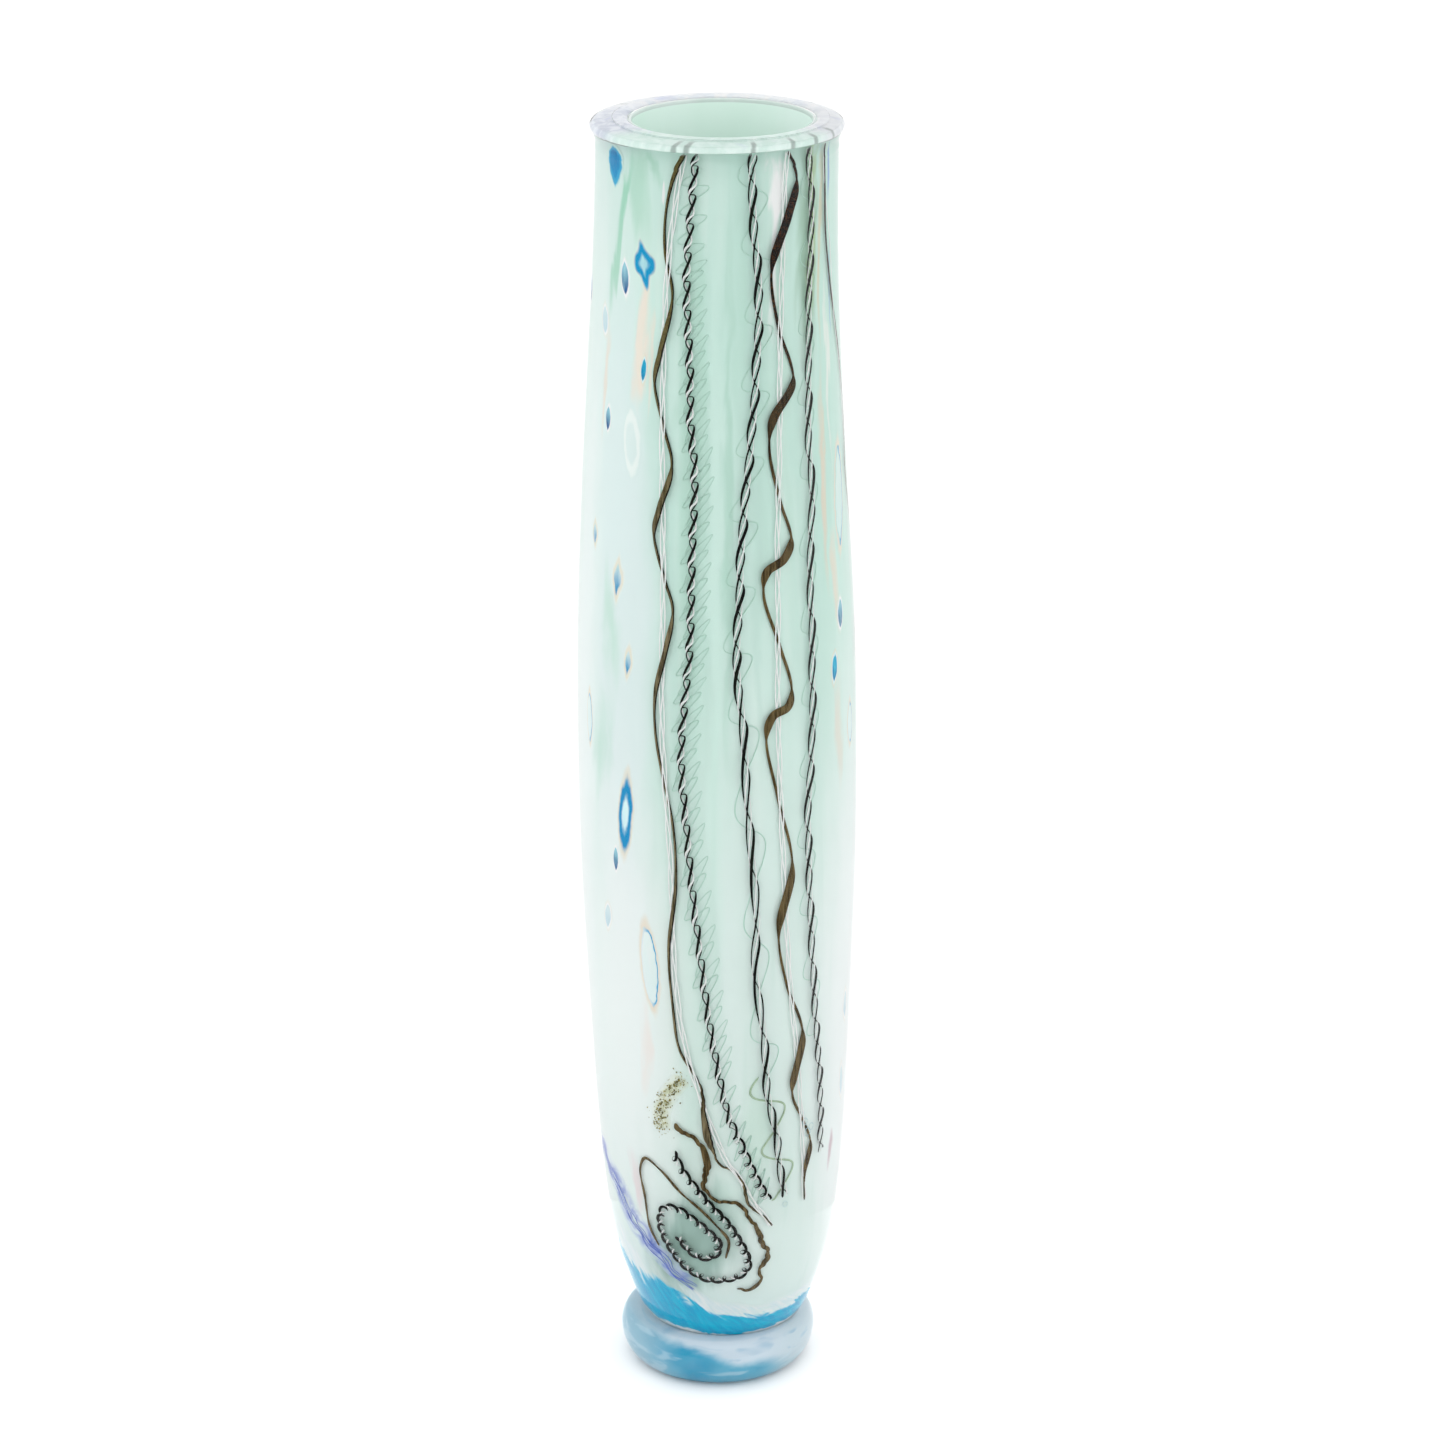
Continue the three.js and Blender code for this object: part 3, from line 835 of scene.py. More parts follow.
mint = opal_outside()
mint_bore = opal_inside()
mint_lip = opal_lip()
casing_glass = clear_glass("clear_casing_glass", (255, 255, 255), 0.02 * MM, MIRROR_SHARE)
foot_glass = clear_glass("pale_blue_foot_glass", (246, 252, 255), 0.03 * MM, 1.0)
melted = joined_face()
dark_cane = cane_glass("dark_cane_glass", (16, 26, 22), (44, 50, 42))
white_cane = cane_glass("white_cane_glass", (250, 250, 249), (226, 232, 229), 0.6)
brown_cane = ribbon_glass("brown_cane_glass", (34, 28, 17), (88, 56, 28), (112, 97, 70))
olive_cane = ribbon_glass("olive_cane_glass", (104, 96, 66), (70, 62, 42), (128, 117, 92))
black_edge = cane_glass("black_edge_glass", (28, 30, 26), (56, 50, 40))
# painted shadow: faint green threads that stand for the canes' shadow and refracted image in the glass
cane_shadow_glass = cane_glass("cane_shadow_glass", (184, 215, 202), (196, 223, 213), 0.8)
pod_glass = cane_glass("pod_glass", (164, 186, 158), (186, 204, 184), 0.6)
violet_thread = cane_glass("violet_thread_glass", (84, 108, 200), (132, 152, 216), 0.8, 500)
flake_glass = cane_glass("flake_glass", (110, 104, 58), (176, 166, 104), 1.0, 700)
bubble_glass = cane_glass("bubble_glass", (176, 204, 210), (210, 226, 228), 0.6)


# ==== The turned bodies

def wall_heights(low, high):
    return np.linspace(low, high, int((high - low) / WALL_STEP) + 1)


def repaint_joint(piece, points, faces, z, middle, radius):
    """Let light through the faces where the body and the foot are melted together."""
    reach = np.hypot(points[:, 0] - middle, points[:, 1])
    joined = (np.abs(points[:, 2] - z) < 1e-6) & (reach < radius * 1.0001)
    repaint(piece, [melted], [int(all(joined[face])) for face in faces])


def make_core():
    """The opal, from its underside up the outside, over its lip and down the bore."""
    lip_low = core_rows[-1, 0]
    side = wall_heights(core_rows[0, 0], lip_low)
    outside = np.stack([side, core_middle(side), opal_radius(side)], axis=1)
    under = [(core_floor[0], core_floor[1], core_floor[2] * share) for share in (0, 0.35, 0.7, 0.96)]
    turn = math.pi * np.linspace(0, 1, 9)[1:-1]
    lip = np.stack([lip_low + (core_lip_height - lip_low) * np.sin(turn), 0 * turn + core_rings[-1, 1],
                    MOUTH_RADIUS + LIP_THICKNESS / 2 * (1 + np.cos(turn))], axis=1)
    wall = bore_rows[:-1]
    down = wall_heights(wall[0, 0], wall[-1, 0])[::-1]
    bore = smooth(wall[:, 0], wall[:, 3], down)
    bore = bore + (MOUTH_RADIUS - bore[0]) * step_between(STRAIGHT_FROM - 30 * MM, down[0], down)
    inside = np.stack([down, core_middle(down), bore], axis=1)
    corner = [(wall[0, 0], wall[0, 3]), *bowl_rows[::-1, ::2], (bowl_floor, 0.0)]
    z, reach = catmull(corner, 10)[1:].T
    floor = np.stack([z, 0 * z + core_floor[1], reach], axis=1)
    rows = np.concatenate([under, outside, lip, inside, floor])
    points, faces = turned(rows)
    bands = [0] * (len(under) - 2 + len(outside)) + [1] * (len(lip) + 1)
    bands += [2] * (len(rows) - 3 - len(bands)) + [0, 2]
    piece = add_piece("opal_core_glass", [(points, faces, mint)], ["opal_core"])
    repaint(piece, [mint_lip, mint_bore], [bands[index // ROUND_STEPS] for index in range(len(faces))])


HAZE_DEPTH = 0.5 * MM  # under the rim's top
HAZE_THICKNESS = 0.12 * MM
HAZE_EDGE = 1.3 * MM  # inside the rim's widest edge
CANE_ENDS = ["twisted_cane_left", "twisted_cane_middle", "twisted_cane_right", "ribbon_cane_left",
             "ribbon_cane_right", "ribbon_cane_edge", "twisted_cane_back_left", "twisted_cane_back_middle",
             "twisted_cane_back_right", "ribbon_cane_back_left", "ribbon_cane_back_right"]


def haze_glass():
    """The cloudy ground rim: mint in front, lilac grey at the sides, white at the back with a painted
    highlight, painted glints, and cane ends.
    """
    paint = Paint("hazy_rim_glass")
    around, out, _ = paint.split(paint.map("Own"))
    fine = paint.grain((260, 260, 260), 4.0, 0.8)
    broad = paint.grain((70, 70, 70), 2.0, 0.4)
    x, y, _ = paint.split(paint.body())
    front = paint.blend(fine, 0.35, 0.65, (205, 225, 218), (219, 234, 229))
    sides = paint.blend(fine, 0.35, 0.65, (194, 200, 212), (226, 230, 236))
    # the white at the back is partly the rim's own tint and partly a painted highlight
    back = paint.blend(fine, 0.3, 0.7, (224, 229, 234), (248, 250, 251))
    sides = paint.blend(x, 0.0, 0.03, sides, (222, 224, 224), 0.6)
    colour = paint.blend(y, 0.004, 0.024, sides, back)
    colour = paint.blend(y, -0.014, -0.024, colour, front)
    colour = paint.blend(broad, 0.62, 0.7, colour, (160, 170, 212), 0.35)
    # painted glints: white sparkles over the rim
    colour = paint.blend(fine, 0.68, 0.78, colour, (250, 251, 252), 0.8)
    for node in CANE_ENDS:
        arc, z = cane_path(node)[0]
        turn = arc / core_radius(z) / (2 * math.pi) + 0.5
        away = paint.shaken(paint.off(around, float(turn % 1.0)), fine, 0.006)
        mark = paint.times(paint.ramp(away, 0.0052, 0.0015, 0.0, 0.6), paint.ramp(out, 0.4, 0.8))
        colour = paint.mix(mark, colour, (112, 124, 120))
    return paint.finish(colour)


def make_rim_haze(top_rows):
    """A thin cloudy layer just under the rim's top, from rows of the top that go inward."""
    z, middle, reach = np.array(top_rows).T[:, :, None]
    reach = np.minimum(reach, reach.max() - HAZE_EDGE)
    z = z - HAZE_DEPTH
    share = (reach - reach.min()) / (reach.max() - reach.min())
    under = (z - HAZE_THICKNESS, middle, reach)
    haze = shell(haze_glass(), (z, middle, reach), under, share[:, 0], ROUND_STEPS)
    add_piece("rim_haze", [haze], [])


STRAIGHT_TO = 398 * MM  # the casing's side below its rim
BEAD_FROM = 397 * MM  # the rim's thick bead
BEAD_ROUNDING = [(TOP - 0.25 * MM, 32.2 * MM), (TOP, 30.2 * MM)]  # height and radius
LIP_EDGE = [(0.12, 1.7), (0.45, 0.8), (1.3, 0.15)]  # mm under the top, and mm out from the casing's inside


def make_casing():
    """The clear glass, from the foot up the outside, over the rim and down along the opal."""
    straight = casing_rows[casing_rows[:, 0] < STRAIGHT_TO]
    side = wall_heights(straight[0, 0], straight[-1, 0])
    outside = np.stack([side, smooth(straight[:, 0], straight[:, 1], side),
                        smooth(straight[:, 0], straight[:, 2], side) - CASING_INSET], axis=1)
    bead = casing_rows[casing_rows[:, 0] >= BEAD_FROM]
    mouth_middle = core_rings[-1, 1]
    z, reach = catmull([*bead[:, ::2], *BEAD_ROUNDING], 8)[1:].T
    share = np.clip((reach.max() - reach) / (reach.max() - 30 * MM), 0, 1)
    after = np.arange(len(reach)) > reach.argmax()
    middle = bead[-1, 1] + (mouth_middle - bead[-1, 1]) * np.where(after, share, 0)
    lip = np.stack([np.minimum(z, TOP), middle, reach], axis=1)
    lip_reach = opal_radius(core_rows[-1, 0]) - AIR_OVERLAP
    edge = [(TOP - down * MM, mouth_middle, lip_reach + out * MM) for down, out in LIP_EDGE]
    make_rim_haze(np.concatenate([lip[after], edge[:2]]))
    down = wall_heights(core_rows[0, 0] + AIR_OVERLAP, core_rows[-1, 0])[::-1]
    inside = np.stack([down, core_middle(down), opal_radius(down) - AIR_OVERLAP], axis=1)
    joint = (foot_rings[-1, 0], outside[0, 1], outside[0, 2])
    base = [(*joint[:2], joint[2] * share) for share in (0, 0.4, 0.8, 0.999)]
    floor = [(core_floor[0] + AIR_OVERLAP, core_floor[1], core_floor[2] * share) for share in (0.9, 0)]
    points, faces = turned(np.concatenate([base, outside, lip, edge, inside, floor]))
    piece = add_piece("clear_casing_glass", [(points, faces, casing_glass)], ["clear_casing"])
    repaint_joint(piece, points, faces, *joint)


# Height and radius in mm of the hollow under the foot, and of the underside and top of the cloud in it.
HOLLOW = [(1.0, 0), (0.95, 5), (0.8, 10), (0.3, 11.4), (0, 12.2), (0, 18), (0, 24)]
CLOUD_UNDERSIDE = [(1.9, 0), (1.8, 9), (1.2, 13), (1.1, 22)]
CLOUD_TOP = [(16.75, 25.4), (16.8, 15), (16.8, 0)]
CLOUD_SIDE = (1.8 * MM, 16.3 * MM)  # the heights of its side
CLOUD_INSET = 1.0 * MM  # of its side from the foot's
CLOUD_SHOULDER = (17.6 * MM, 12 * MM)  # the heights over which that inset sets in, going down


def make_foot():
    """The foot, with a shallow hollow under it, and the milky cloud inside it."""
    side = [(0.0, foot_rings[0, 2]), *(row[::2] for row in foot_rings[:, :3] if row[0] >= 1 * MM)]
    side = catmull(side, 10)
    joint = (foot_rings[-1, 0], *casing_rows[0, 1:])
    rows = [(z * MM, 0.0, reach * MM) for z, reach in HOLLOW] + [(z, 0.0, reach) for z, reach in side]
    points, faces = turned(rows + [(*joint[:2], joint[2] * share) for share in (1.0, 0.6, 0.2, 0.0)])
    piece = add_piece("foot_glass", [(points, faces, foot_glass)], ["foot"])
    repaint_joint(piece, points, faces, *joint)
    rows = [(z * MM, 0.0, reach * MM) for z, reach in CLOUD_UNDERSIDE]
    for z, reach in side:
        if CLOUD_SIDE[0] < z < CLOUD_SIDE[1]:
            rows.append((z, 0.0, reach - CLOUD_INSET * step_between(*CLOUD_SHOULDER, z)))
    rows += [(z * MM, joint[1], reach * MM) for z, reach in CLOUD_TOP]
    add_piece("foot_cloud", [(*turned(rows, 160), foot_cloud())], [])


make_core()
make_casing()
make_foot()


# ==== Canes with twisted strands

CANE_LIFT = 1.32 * MM  # of a cane's middle line above the core

# Height in mm and how far down one full twist goes, in mm.
LEFT_TWIST = [(404, 8.7), (320, 8.6), (260, 8.7), (215, 9.2), (190, 10.5), (165, 11.5), (140, 11), (120, 9.5),
              (105, 8.2), (95, 6.6), (86, 5), (80, 4.4), (74, 4), (68, 3.6)]
MIDDLE_TWIST = [(404, 21), (330, 20), (300, 19.5), (240, 21), (210, 36), (140, 38), (110, 22), (60, 20)]
RIGHT_TWIST = [(404, 20), (330, 21), (300, 24), (240, 23), (140, 22), (120, 16), (70, 12)]
COIL_TWIST = [(110, 6.4), (92, 5.8), (80, 4.4), (66, 3.6), (0, 3.3)]

# The strands of a cane. Each has its glass, its start as a share of a twist, its reach to the sides in mm,
# half its thickness in mm in front and behind, how much of a twist its front stroke gains, and how far it
# curls.
LOOPED = [(dark_cane, 0.0, 0.95, 0.38, 0.16, 0.17, 0.0), (dark_cane, 0.62, 0.72, 0.19, 0.17, 0.0, 0.0),
          (white_cane, 0.74, 0.8, 0.32, 0.22, -0.06, 0.0)]
ROPED = [(dark_cane, 0.0, 1.15, 0.46, 0.16, 0.04, -0.06), (white_cane, 0.26, 0.8, 0.2, 0.1, 0.0, 0.0),
         (dark_cane, 0.5, 0.95, 0.26, 0.15, 0.04, -0.06), (white_cane, 0.75, 0.8, 0.22, 0.1, 0.0, 0.0)]
HOOKED = [(dark_cane, 0.0, 1.1, 0.5, 0.05, 0.0, 0.34), (white_cane, 0.55, 0.55, 0.28, 0.1, 0.0, 0.15)]


def twist_phase(line, twist):
    """How many twists there are down to each point of a line, and how long a twist is there."""
    heights, lengths = np.array(twist)[::-1].T * MM
    pitch = np.interp(line[:, 1], heights, lengths)
    steps = np.diff(lengths_along(line)) / ((pitch[1:] + pitch[:-1]) / 2)
    return np.cumsum(np.concatenate([[0.0], steps])), pitch


def twisted_cane(name, node, twist, strokes, start, step, hooked_below=0.0, thinner_below=0.0):
    """Strands wound round each other. Below a height they may turn into a row of hooks."""
    line = cane_path(node, step)
    twists, pitch = twist_phase(line, twist)
    hooks = step_between(hooked_below + 8 * MM, hooked_below - 6 * MM, line[:, 1]) * bool(hooked_below)
    slim = 1 - 0.06 * step_between(thinner_below + 15 * MM, thinner_below - 15 * MM, line[:, 1])
    parts = []
    for number, (material, offset, reach, front, back, gain, curl) in enumerate(strokes):
        swing = 2 * math.pi * (twists + start + offset)
        outside = np.maximum(hooks, 1.0 if curl > 0.2 else 0.0)
        near = step_between(-1, 1, np.sin(swing + 1.2 * outside))
        half = (back * (1 - 0.6 * hooks) + (front - back) * near) * MM * slim
        half = half * (1 + 0.12 * wander(len(line), 30, 10 * number + len(name)))
        half = half * (1 - 0.6 * hooks if number == 1 else 1 + 0.4 * hooks)
        lateral = reach * MM * (1 + 0.3 * hooks) * np.cos(swing)
        lift = CANE_LIFT + 0.8 * reach * MM * np.sin(swing)
        gained = gain * (1 - hooks) * np.cos(swing)
        curled = (curl + 0.26 * hooks) * np.sin(swing)
        parts.append(strand(material, line, lateral, lift, half, shift=(curled - gained) * pitch))
    add_piece(name, parts, [node])


THIN_FROM = 180 * MM  # the canes are thinner below this
TWISTED_CANES = [("left", LEFT_TWIST, LOOPED, 0.1, 0.2, 92 * MM, THIN_FROM),
                 ("middle", MIDDLE_TWIST, ROPED, 0.35, 0.3, 0.0, THIN_FROM),
                 ("right", RIGHT_TWIST, ROPED, 0.2, 0.3, 0.0, THIN_FROM),
                 ("back_left", RIGHT_TWIST, ROPED, 0.0, 0.3, 0.0, 0.0),
                 ("back_middle", LEFT_TWIST, LOOPED, 0.4, 0.2, 0.0, 0.0),
                 ("back_right", MIDDLE_TWIST, ROPED, 0.5, 0.3, 0.0, 0.0)]
for place, *look, step, hooked_below, thinner_below in TWISTED_CANES:
    twisted_cane(place + "_twisted_strands", "twisted_cane_" + place, *look, step * MM, hooked_below,
                 thinner_below)
twisted_cane("coiled_strands", "coiled_cane", COIL_TWIST, HOOKED, 0.0, 0.12 * MM)


# ==== Ribbon canes

# A ribbon swings from side to side. Where it goes down to the left it is in front, and it is wide and high
# in the glass; where it goes down to the right it is behind, and it is narrow and low.
RIBBON_LIFT_FRONT = 1.45 * MM
RIBBON_LIFT_BACK = 0.5 * MM
SWING_LENGTH = 60 * MM
KINK_LENGTH = 16 * MM
KNOT_SPACING = 22 * MM
KINKED = (128 * MM, 105 * MM)  # the heights over which its kinks and knots set in, going down
NARROWING = (120 * MM, 60 * MM)  # and those over which it gets narrower
LEAN_WIDEST = 0.24  # the sideways share of a stroke at which it is widest
RIBBON_DEPTH = 0.26 * MM  # half its thickness
THREAD_REACH = 0.72 * MM
THREAD_SWING = 46 * MM  # down which a white thread goes over and back


def ribbon(place, front, turn, back, material, edge_material=None, threads=0, step=0.5, kinks=0.0):
    """A flat coloured strip with white threads that run nearly straight through its swings.

    front, turn and back are half its width in mm in its strokes and between them."""
    name = place + "_ribbon"
    node = "ribbon_cane_" + place
    line = cane_path(node, step * MM)
    length = lengths_along(line)[-1]
    axis = np.stack([softened(line[:, 0], SWING_LENGTH / (step * MM)), line[:, 1]], axis=1)
    slope, drift = (unit(np.gradient(way, axis=0))[:, 0] for way in (line, axis))
    lean = softened(np.clip((drift - slope) / LEAN_WIDEST, -1, 1), 3 / step)
    half = (turn + (front - turn) * np.clip(lean, 0, 1) ** 1.2 + (back - turn) * np.clip(-lean, 0, 1)) * MM
    half = half * (1 + 0.06 * wander(len(line), 18, len(name)))
    half = half * (1 - 0.25 * step_between(*NARROWING, line[:, 1]))
    low_down = step_between(*KINKED, line[:, 1])
    if kinks:
        knots = np.clip(wander(len(line), length / KNOT_SPACING, 31), 0, 1)
        half = half * (1 + 0.9 * knots * low_down)
    lift = RIBBON_LIFT_BACK + (RIBBON_LIFT_FRONT - RIBBON_LIFT_BACK) * (0.5 + 0.5 * lean)
    jolt = np.round(2.2 * wander(len(line), length / KINK_LENGTH, 7)) / 2.2
    jolt = kinks * MM * softened(jolt, 0.7 / step) * low_down
    parts = [strand(material, line, jolt, lift, half, RIBBON_DEPTH, 14, 2.0)]
    if edge_material:
        parts.append(strand(edge_material, line, jolt + 0.84 * half, lift + 0.04 * MM, 0.1 * MM + 0.12 * half,
                            RIBBON_DEPTH, 8, 2.0))
    for number in range(threads):
        swing = 2 * math.pi * (axis[:, 1] / THREAD_SWING + number / threads)
        row = np.stack([axis[:, 0] + THREAD_REACH * np.cos(swing), axis[:, 1]], axis=1)
        high = 1.02 * MM + 0.12 * MM * np.sin(swing)
        parts.append(strand(white_cane, row, 0.0, high, 0.21 * MM, 0.16 * MM, 8, 2.0))
    add_piece(name, parts, [node])


ribbon("left", 0.85, 0.34, 0.42, olive_cane, black_edge, 3, kinks=0.7)
ribbon("right", 1.4, 0.34, 0.48, brown_cane, None, 3)
ribbon("edge", 0.6, 0.4, 0.45, brown_cane, None, 1)
ribbon("back_left", 1.4, 0.34, 0.48, brown_cane, None, 3)
ribbon("back_right", 0.9, 0.34, 0.42, olive_cane, black_edge, 2)
ribbon("lower", 0.95, 0.55, 0.8, brown_cane, step=0.3, kinks=1.7)


def make_outline():
    """The loose brown thread beside the right ribbon."""
    line = cane_path("outline_cane")
    half = 0.42 * MM * (1 + 0.35 * wander(len(line), 12, 5))
    thread = strand(brown_cane, line, 0.0, 0.9 * MM, half, 0.24 * MM)
    add_piece("outline_thread", [thread], ["outline_cane"])


make_outline()


# ==== Faint threads round two of the twisted canes: painted shadows and refracted images of the canes, and pods

THREAD_FLATTER = (380 * MM, 330 * MM)  # its turns slant less above these heights than under them


def wound_thread(name, place, twist, left, right, low, high, material, half, start, slant):
    """A thin pale thread that winds widely round a cane, flattened on the core. Lengths are in mm.

    slant is how far up each turn goes on the right, for each step to the side."""
    line = cane_path("twisted_cane_" + place)
    line = line[(line[:, 1] > low * MM) & (line[:, 1] < high * MM)]
    phase = start + 2 * math.pi * twist_phase(line, twist)[0]
    lateral = np.where(np.cos(phase) > 0, right * MM, left * MM) * np.cos(phase)
    rise = slant * (0.45 + 0.55 * step_between(*THREAD_FLATTER, line[:, 1]))
    lift = 0.2 * MM + 0.1 * MM * np.sin(phase)
    thread = strand(material, line, lateral, lift, half * MM, half * 0.8 * MM, 6, 1.0, -rise * lateral)
    add_piece(name, [thread], [])


# the thin pale threads below, all but the pods, are a painted shadow and refracted image of each cane in the
# glass
wound_thread("left_cane_shadow", "left", LEFT_TWIST, 3.4, 4.2, 66, 397, cane_shadow_glass, 0.13, 1.0, 1.2)
wound_thread("left_cane_shadow_second", "left", LEFT_TWIST, 2.2, 5.2, 110, 370, cane_shadow_glass, 0.09, 3.2, 1.5)
wound_thread("middle_cane_shadow", "middle", MIDDLE_TWIST, 3.6, 4.6, 108, 400, cane_shadow_glass, 0.15, 2.0, 0.8)
wound_thread("middle_pods", "middle", MIDDLE_TWIST, 4.9, 4.9, 62, 112, pod_glass, 0.3, 2.0, 0.3)
wound_thread("right_cane_shadow", "right", RIGHT_TWIST, 3.2, 3.2, 120, 400, cane_shadow_glass, 0.12, 0.0, 0.8)


# ==== Slices of cane

def slice_box(node):
    """Arc, height, half width and half height of a slice's node."""
    spread = unrolled(corners(node)[0])
    low, high = spread.min(axis=0), spread.max(axis=0)
    return (*((low + high) / 2), *((high - low) / 2))


def oval_disc(node, material, pointed, grow, lean, spikes, rise=0.4 * MM, rings=16, steps=64):
    """A low dome with a pointed-oval outline in the place of a slice's node, and its map."""
    arc, z, half_width, half_height = slice_box(node)
    turn = full_turn(steps)
    away = np.linspace(0, 1, rings)[1:, None]
    star = 1 + spikes * (np.cos(4 * turn) + 0.4 * np.sin(3 * turn + 1))
    x = away * star * np.sign(np.cos(turn)) * np.abs(np.cos(turn)) ** (1 + pointed) * half_width * grow[0]
    y = away * star * np.sin(turn) * half_height * grow[1]
    tilt = math.radians(lean)
    across = arc + x * math.cos(tilt) - y * math.sin(tilt)
    up = z + x * math.sin(tilt) + y * math.cos(tilt)
    top = on_core(across, up, rise * (1 - away ** 2) - SUNK).reshape(-1, 3)
    under = on_core(across, up, -BURIED).reshape(-1, 3)
    points = np.concatenate([top, under, on_core(arc, z, np.array([rise - SUNK, -BURIED]))])
    spots = 0.5 + 0.5 * away[..., None] * np.stack([np.cos(turn), np.sin(turn)], axis=-1)
    places = np.concatenate([spots.reshape(-1, 2)] * 2 + [np.full((2, 2), 0.5)])
    count = len(top)
    faces = [face[::-1] for face in grid_faces(rings - 1, steps)]
    faces += [[i + count for i in face[::-1]] for face in faces]
    faces += band(count - steps, 2 * count - steps, steps)
    faces += fan(2 * count, 0, steps) + fan(2 * count + 1, count, steps, True)
    return points, faces, material, places


blue_slice = slice_glass("blue_slice_glass", (140, 192, 208), (10, 86, 142), (240, 245, 245),
                         (228, 234, 230), 0.62, 0.08, 1.0, 0.4)
deep_slice = slice_glass("deep_blue_slice_glass", (0, 122, 176), (0, 142, 194), (60, 164, 204),
                         (160, 210, 210), 0.66, 0.12, 1.0, 0.5)
turquoise_slice = slice_glass("turquoise_slice_glass", (40, 164, 202), (8, 122, 172), (216, 232, 232),
                              (224, 216, 200), 0.6, 0.08)
star_slice = slice_glass("star_slice_glass", (176, 218, 224), (150, 208, 220), (30, 148, 196),
                         (222, 216, 200), 0.5, 0.26, 1.0, 0.5)
eye_slice = slice_glass("white_eye_slice_glass", (214, 238, 246), (196, 230, 240), (8, 140, 192),
                        (222, 214, 196), 0.44, 0.2, 1.0, 0.8)
broken_slice = slice_glass("broken_slice_glass", (186, 216, 220), (16, 138, 190), (224, 222, 208),
                           (228, 230, 222), 0.5, 0.16, 1.0, 0.5)
pale_slice = slice_glass("pale_slice_glass", (196, 218, 224), (176, 206, 220), (236, 243, 242),
                         (228, 222, 210), 0.6, 0.07, 0.7, 0.4)
ring_slice = slice_glass("large_ring_slice_glass", (220, 235, 233), (214, 232, 233), (60, 160, 208),
                         (226, 218, 203), 0.62, 0.045, 0.6, 0.95, 0.9)
faint_slice = slice_glass("faint_slice_glass", (218, 232, 228), (214, 230, 226), (228, 237, 234),
                          (214, 230, 226), 0.6, 0.16, 0.3, 0.3)

# How some slices differ: their material, how much larger they are than the node, lean and spikes.
SPECIAL_SLICES = {
    "blue_slice_1": (deep_slice, (2.4, 1.35), 3, 0.0),
    "blue_slice_4": (broken_slice, (1.6, 1.5), -6, 0.1),
    "blue_slice_5": (broken_slice, (1.8, 1.6), -6, 0.05),
    "pale_slice_2": (faint_slice, (1.3, 1.3), 0, 0.0),
    "pale_slice_3": (broken_slice, (1.7, 1.3), 0, 0.06),
    "pale_slice_4": (ring_slice, (1.5, 1.3), 0, 0.0),
    "pale_slice_6": (ring_slice, (1.35, 1.35), 5, 0.0),
    "pale_slice_7": (ring_slice, (1.7, 1.5), 0, 0.0),
    "turquoise_slice_1": (star_slice, (1.5, 1.12), 10, 0.17),
    "turquoise_slice_2": (turquoise_slice, (1.6, 1.5), -4, 0.0),
    "turquoise_slice_3": (eye_slice, (1.9, 1.55), -4, 0.0),
    "turquoise_slice_5": (ring_slice, (1.4, 1.4), 0, 0.0),
}


def make_slices():
    """A disc for every slice's node."""
    for node in sorted(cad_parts):
        if "_slice_" not in node:
            continue
        kind = node.split("_slice_")[0]
        usual = {"blue": blue_slice, "turquoise": turquoise_slice, "pale": pale_slice}[kind]
        lean = (len(node) * 7 + ord(node[-1])) % 9 - 4
        material, grow, lean, spikes = SPECIAL_SLICES.get(node, (usual, (1.9, 1.5), lean, 0.0))
        disc = oval_disc(node, material, 0.6 if material is usual else 0.35, grow, lean, spikes)
        add_piece(node + "_disc", [disc], [node])


make_slices()


# ==== Collar, trail, flakes and bubbles

COLLAR_PROUD = 0.5 * MM  # how far the turquoise stands out from the core
COLLAR_COVER = 0.7 * MM  # of clear glass over it at the bottom
COLLAR_WIDENS = (26 * MM, 18 * MM)  # the heights over which it goes out to the casing's side, going down
COLLAR_ON_CORE = 22 * MM  # above this it stays out of the core
COLLAR_RISE = 6 * MM  # of its faint upper edge over the node's
COLLAR_STEPS = 288


def make_collar():
    """The brushed turquoise shell low on the core."""
    points, _ = corners("turquoise_collar")
    turn = np.arctan2(points[:, 0] - core_middle(points[:, 2]), -points[:, 1])
    bins = np.linspace(-math.pi, math.pi, 33)
    tops = [points[(turn >= a - 0.12) & (turn <= b + 0.12), 2].max() for a, b in zip(bins, bins[1:])]
    around = full_turn(COLLAR_STEPS, -math.pi)
    top = np.interp(around, (bins[:-1] + bins[1:]) / 2, tops, period=2 * math.pi)
    top = top + COLLAR_RISE + 1.2 * MM * np.sin(9 * around + 1) * np.sin(4 * around)
    low = foot_rings[-1, 0] + 0.1 * MM
    levels = np.linspace(0, 1, 30)
    z = low + levels[:, None] * (top - low)
    core = core_radius(np.maximum(z, core_rows[0, 0]))
    middle = core_middle(np.maximum(z, core_rows[0, 0]))
    reach = core + COLLAR_PROUD * step_between(1.0, 0.75, levels)[:, None] - SUNK
    wall = np.interp(z, casing_rows[:, 0], casing_rows[:, 2]) - COLLAR_COVER
    hold = step_between(*COLLAR_WIDENS, z)
    reach = reach * (1 - hold) + np.maximum(wall, reach) * hold
    reach = np.minimum(reach, np.maximum(wall, core * (z > COLLAR_ON_CORE)))
    inner = np.where(z > core_floor[0] + 1 * MM, core - BURIED, reach - 0.6 * MM)
    inner = np.minimum(inner, reach - SUNK)
    collar = shell(collar_glass(), (z, middle, reach), (z, middle, inner), levels, COLLAR_STEPS)
    add_piece("turquoise_brushwork", [collar], ["turquoise_collar"])


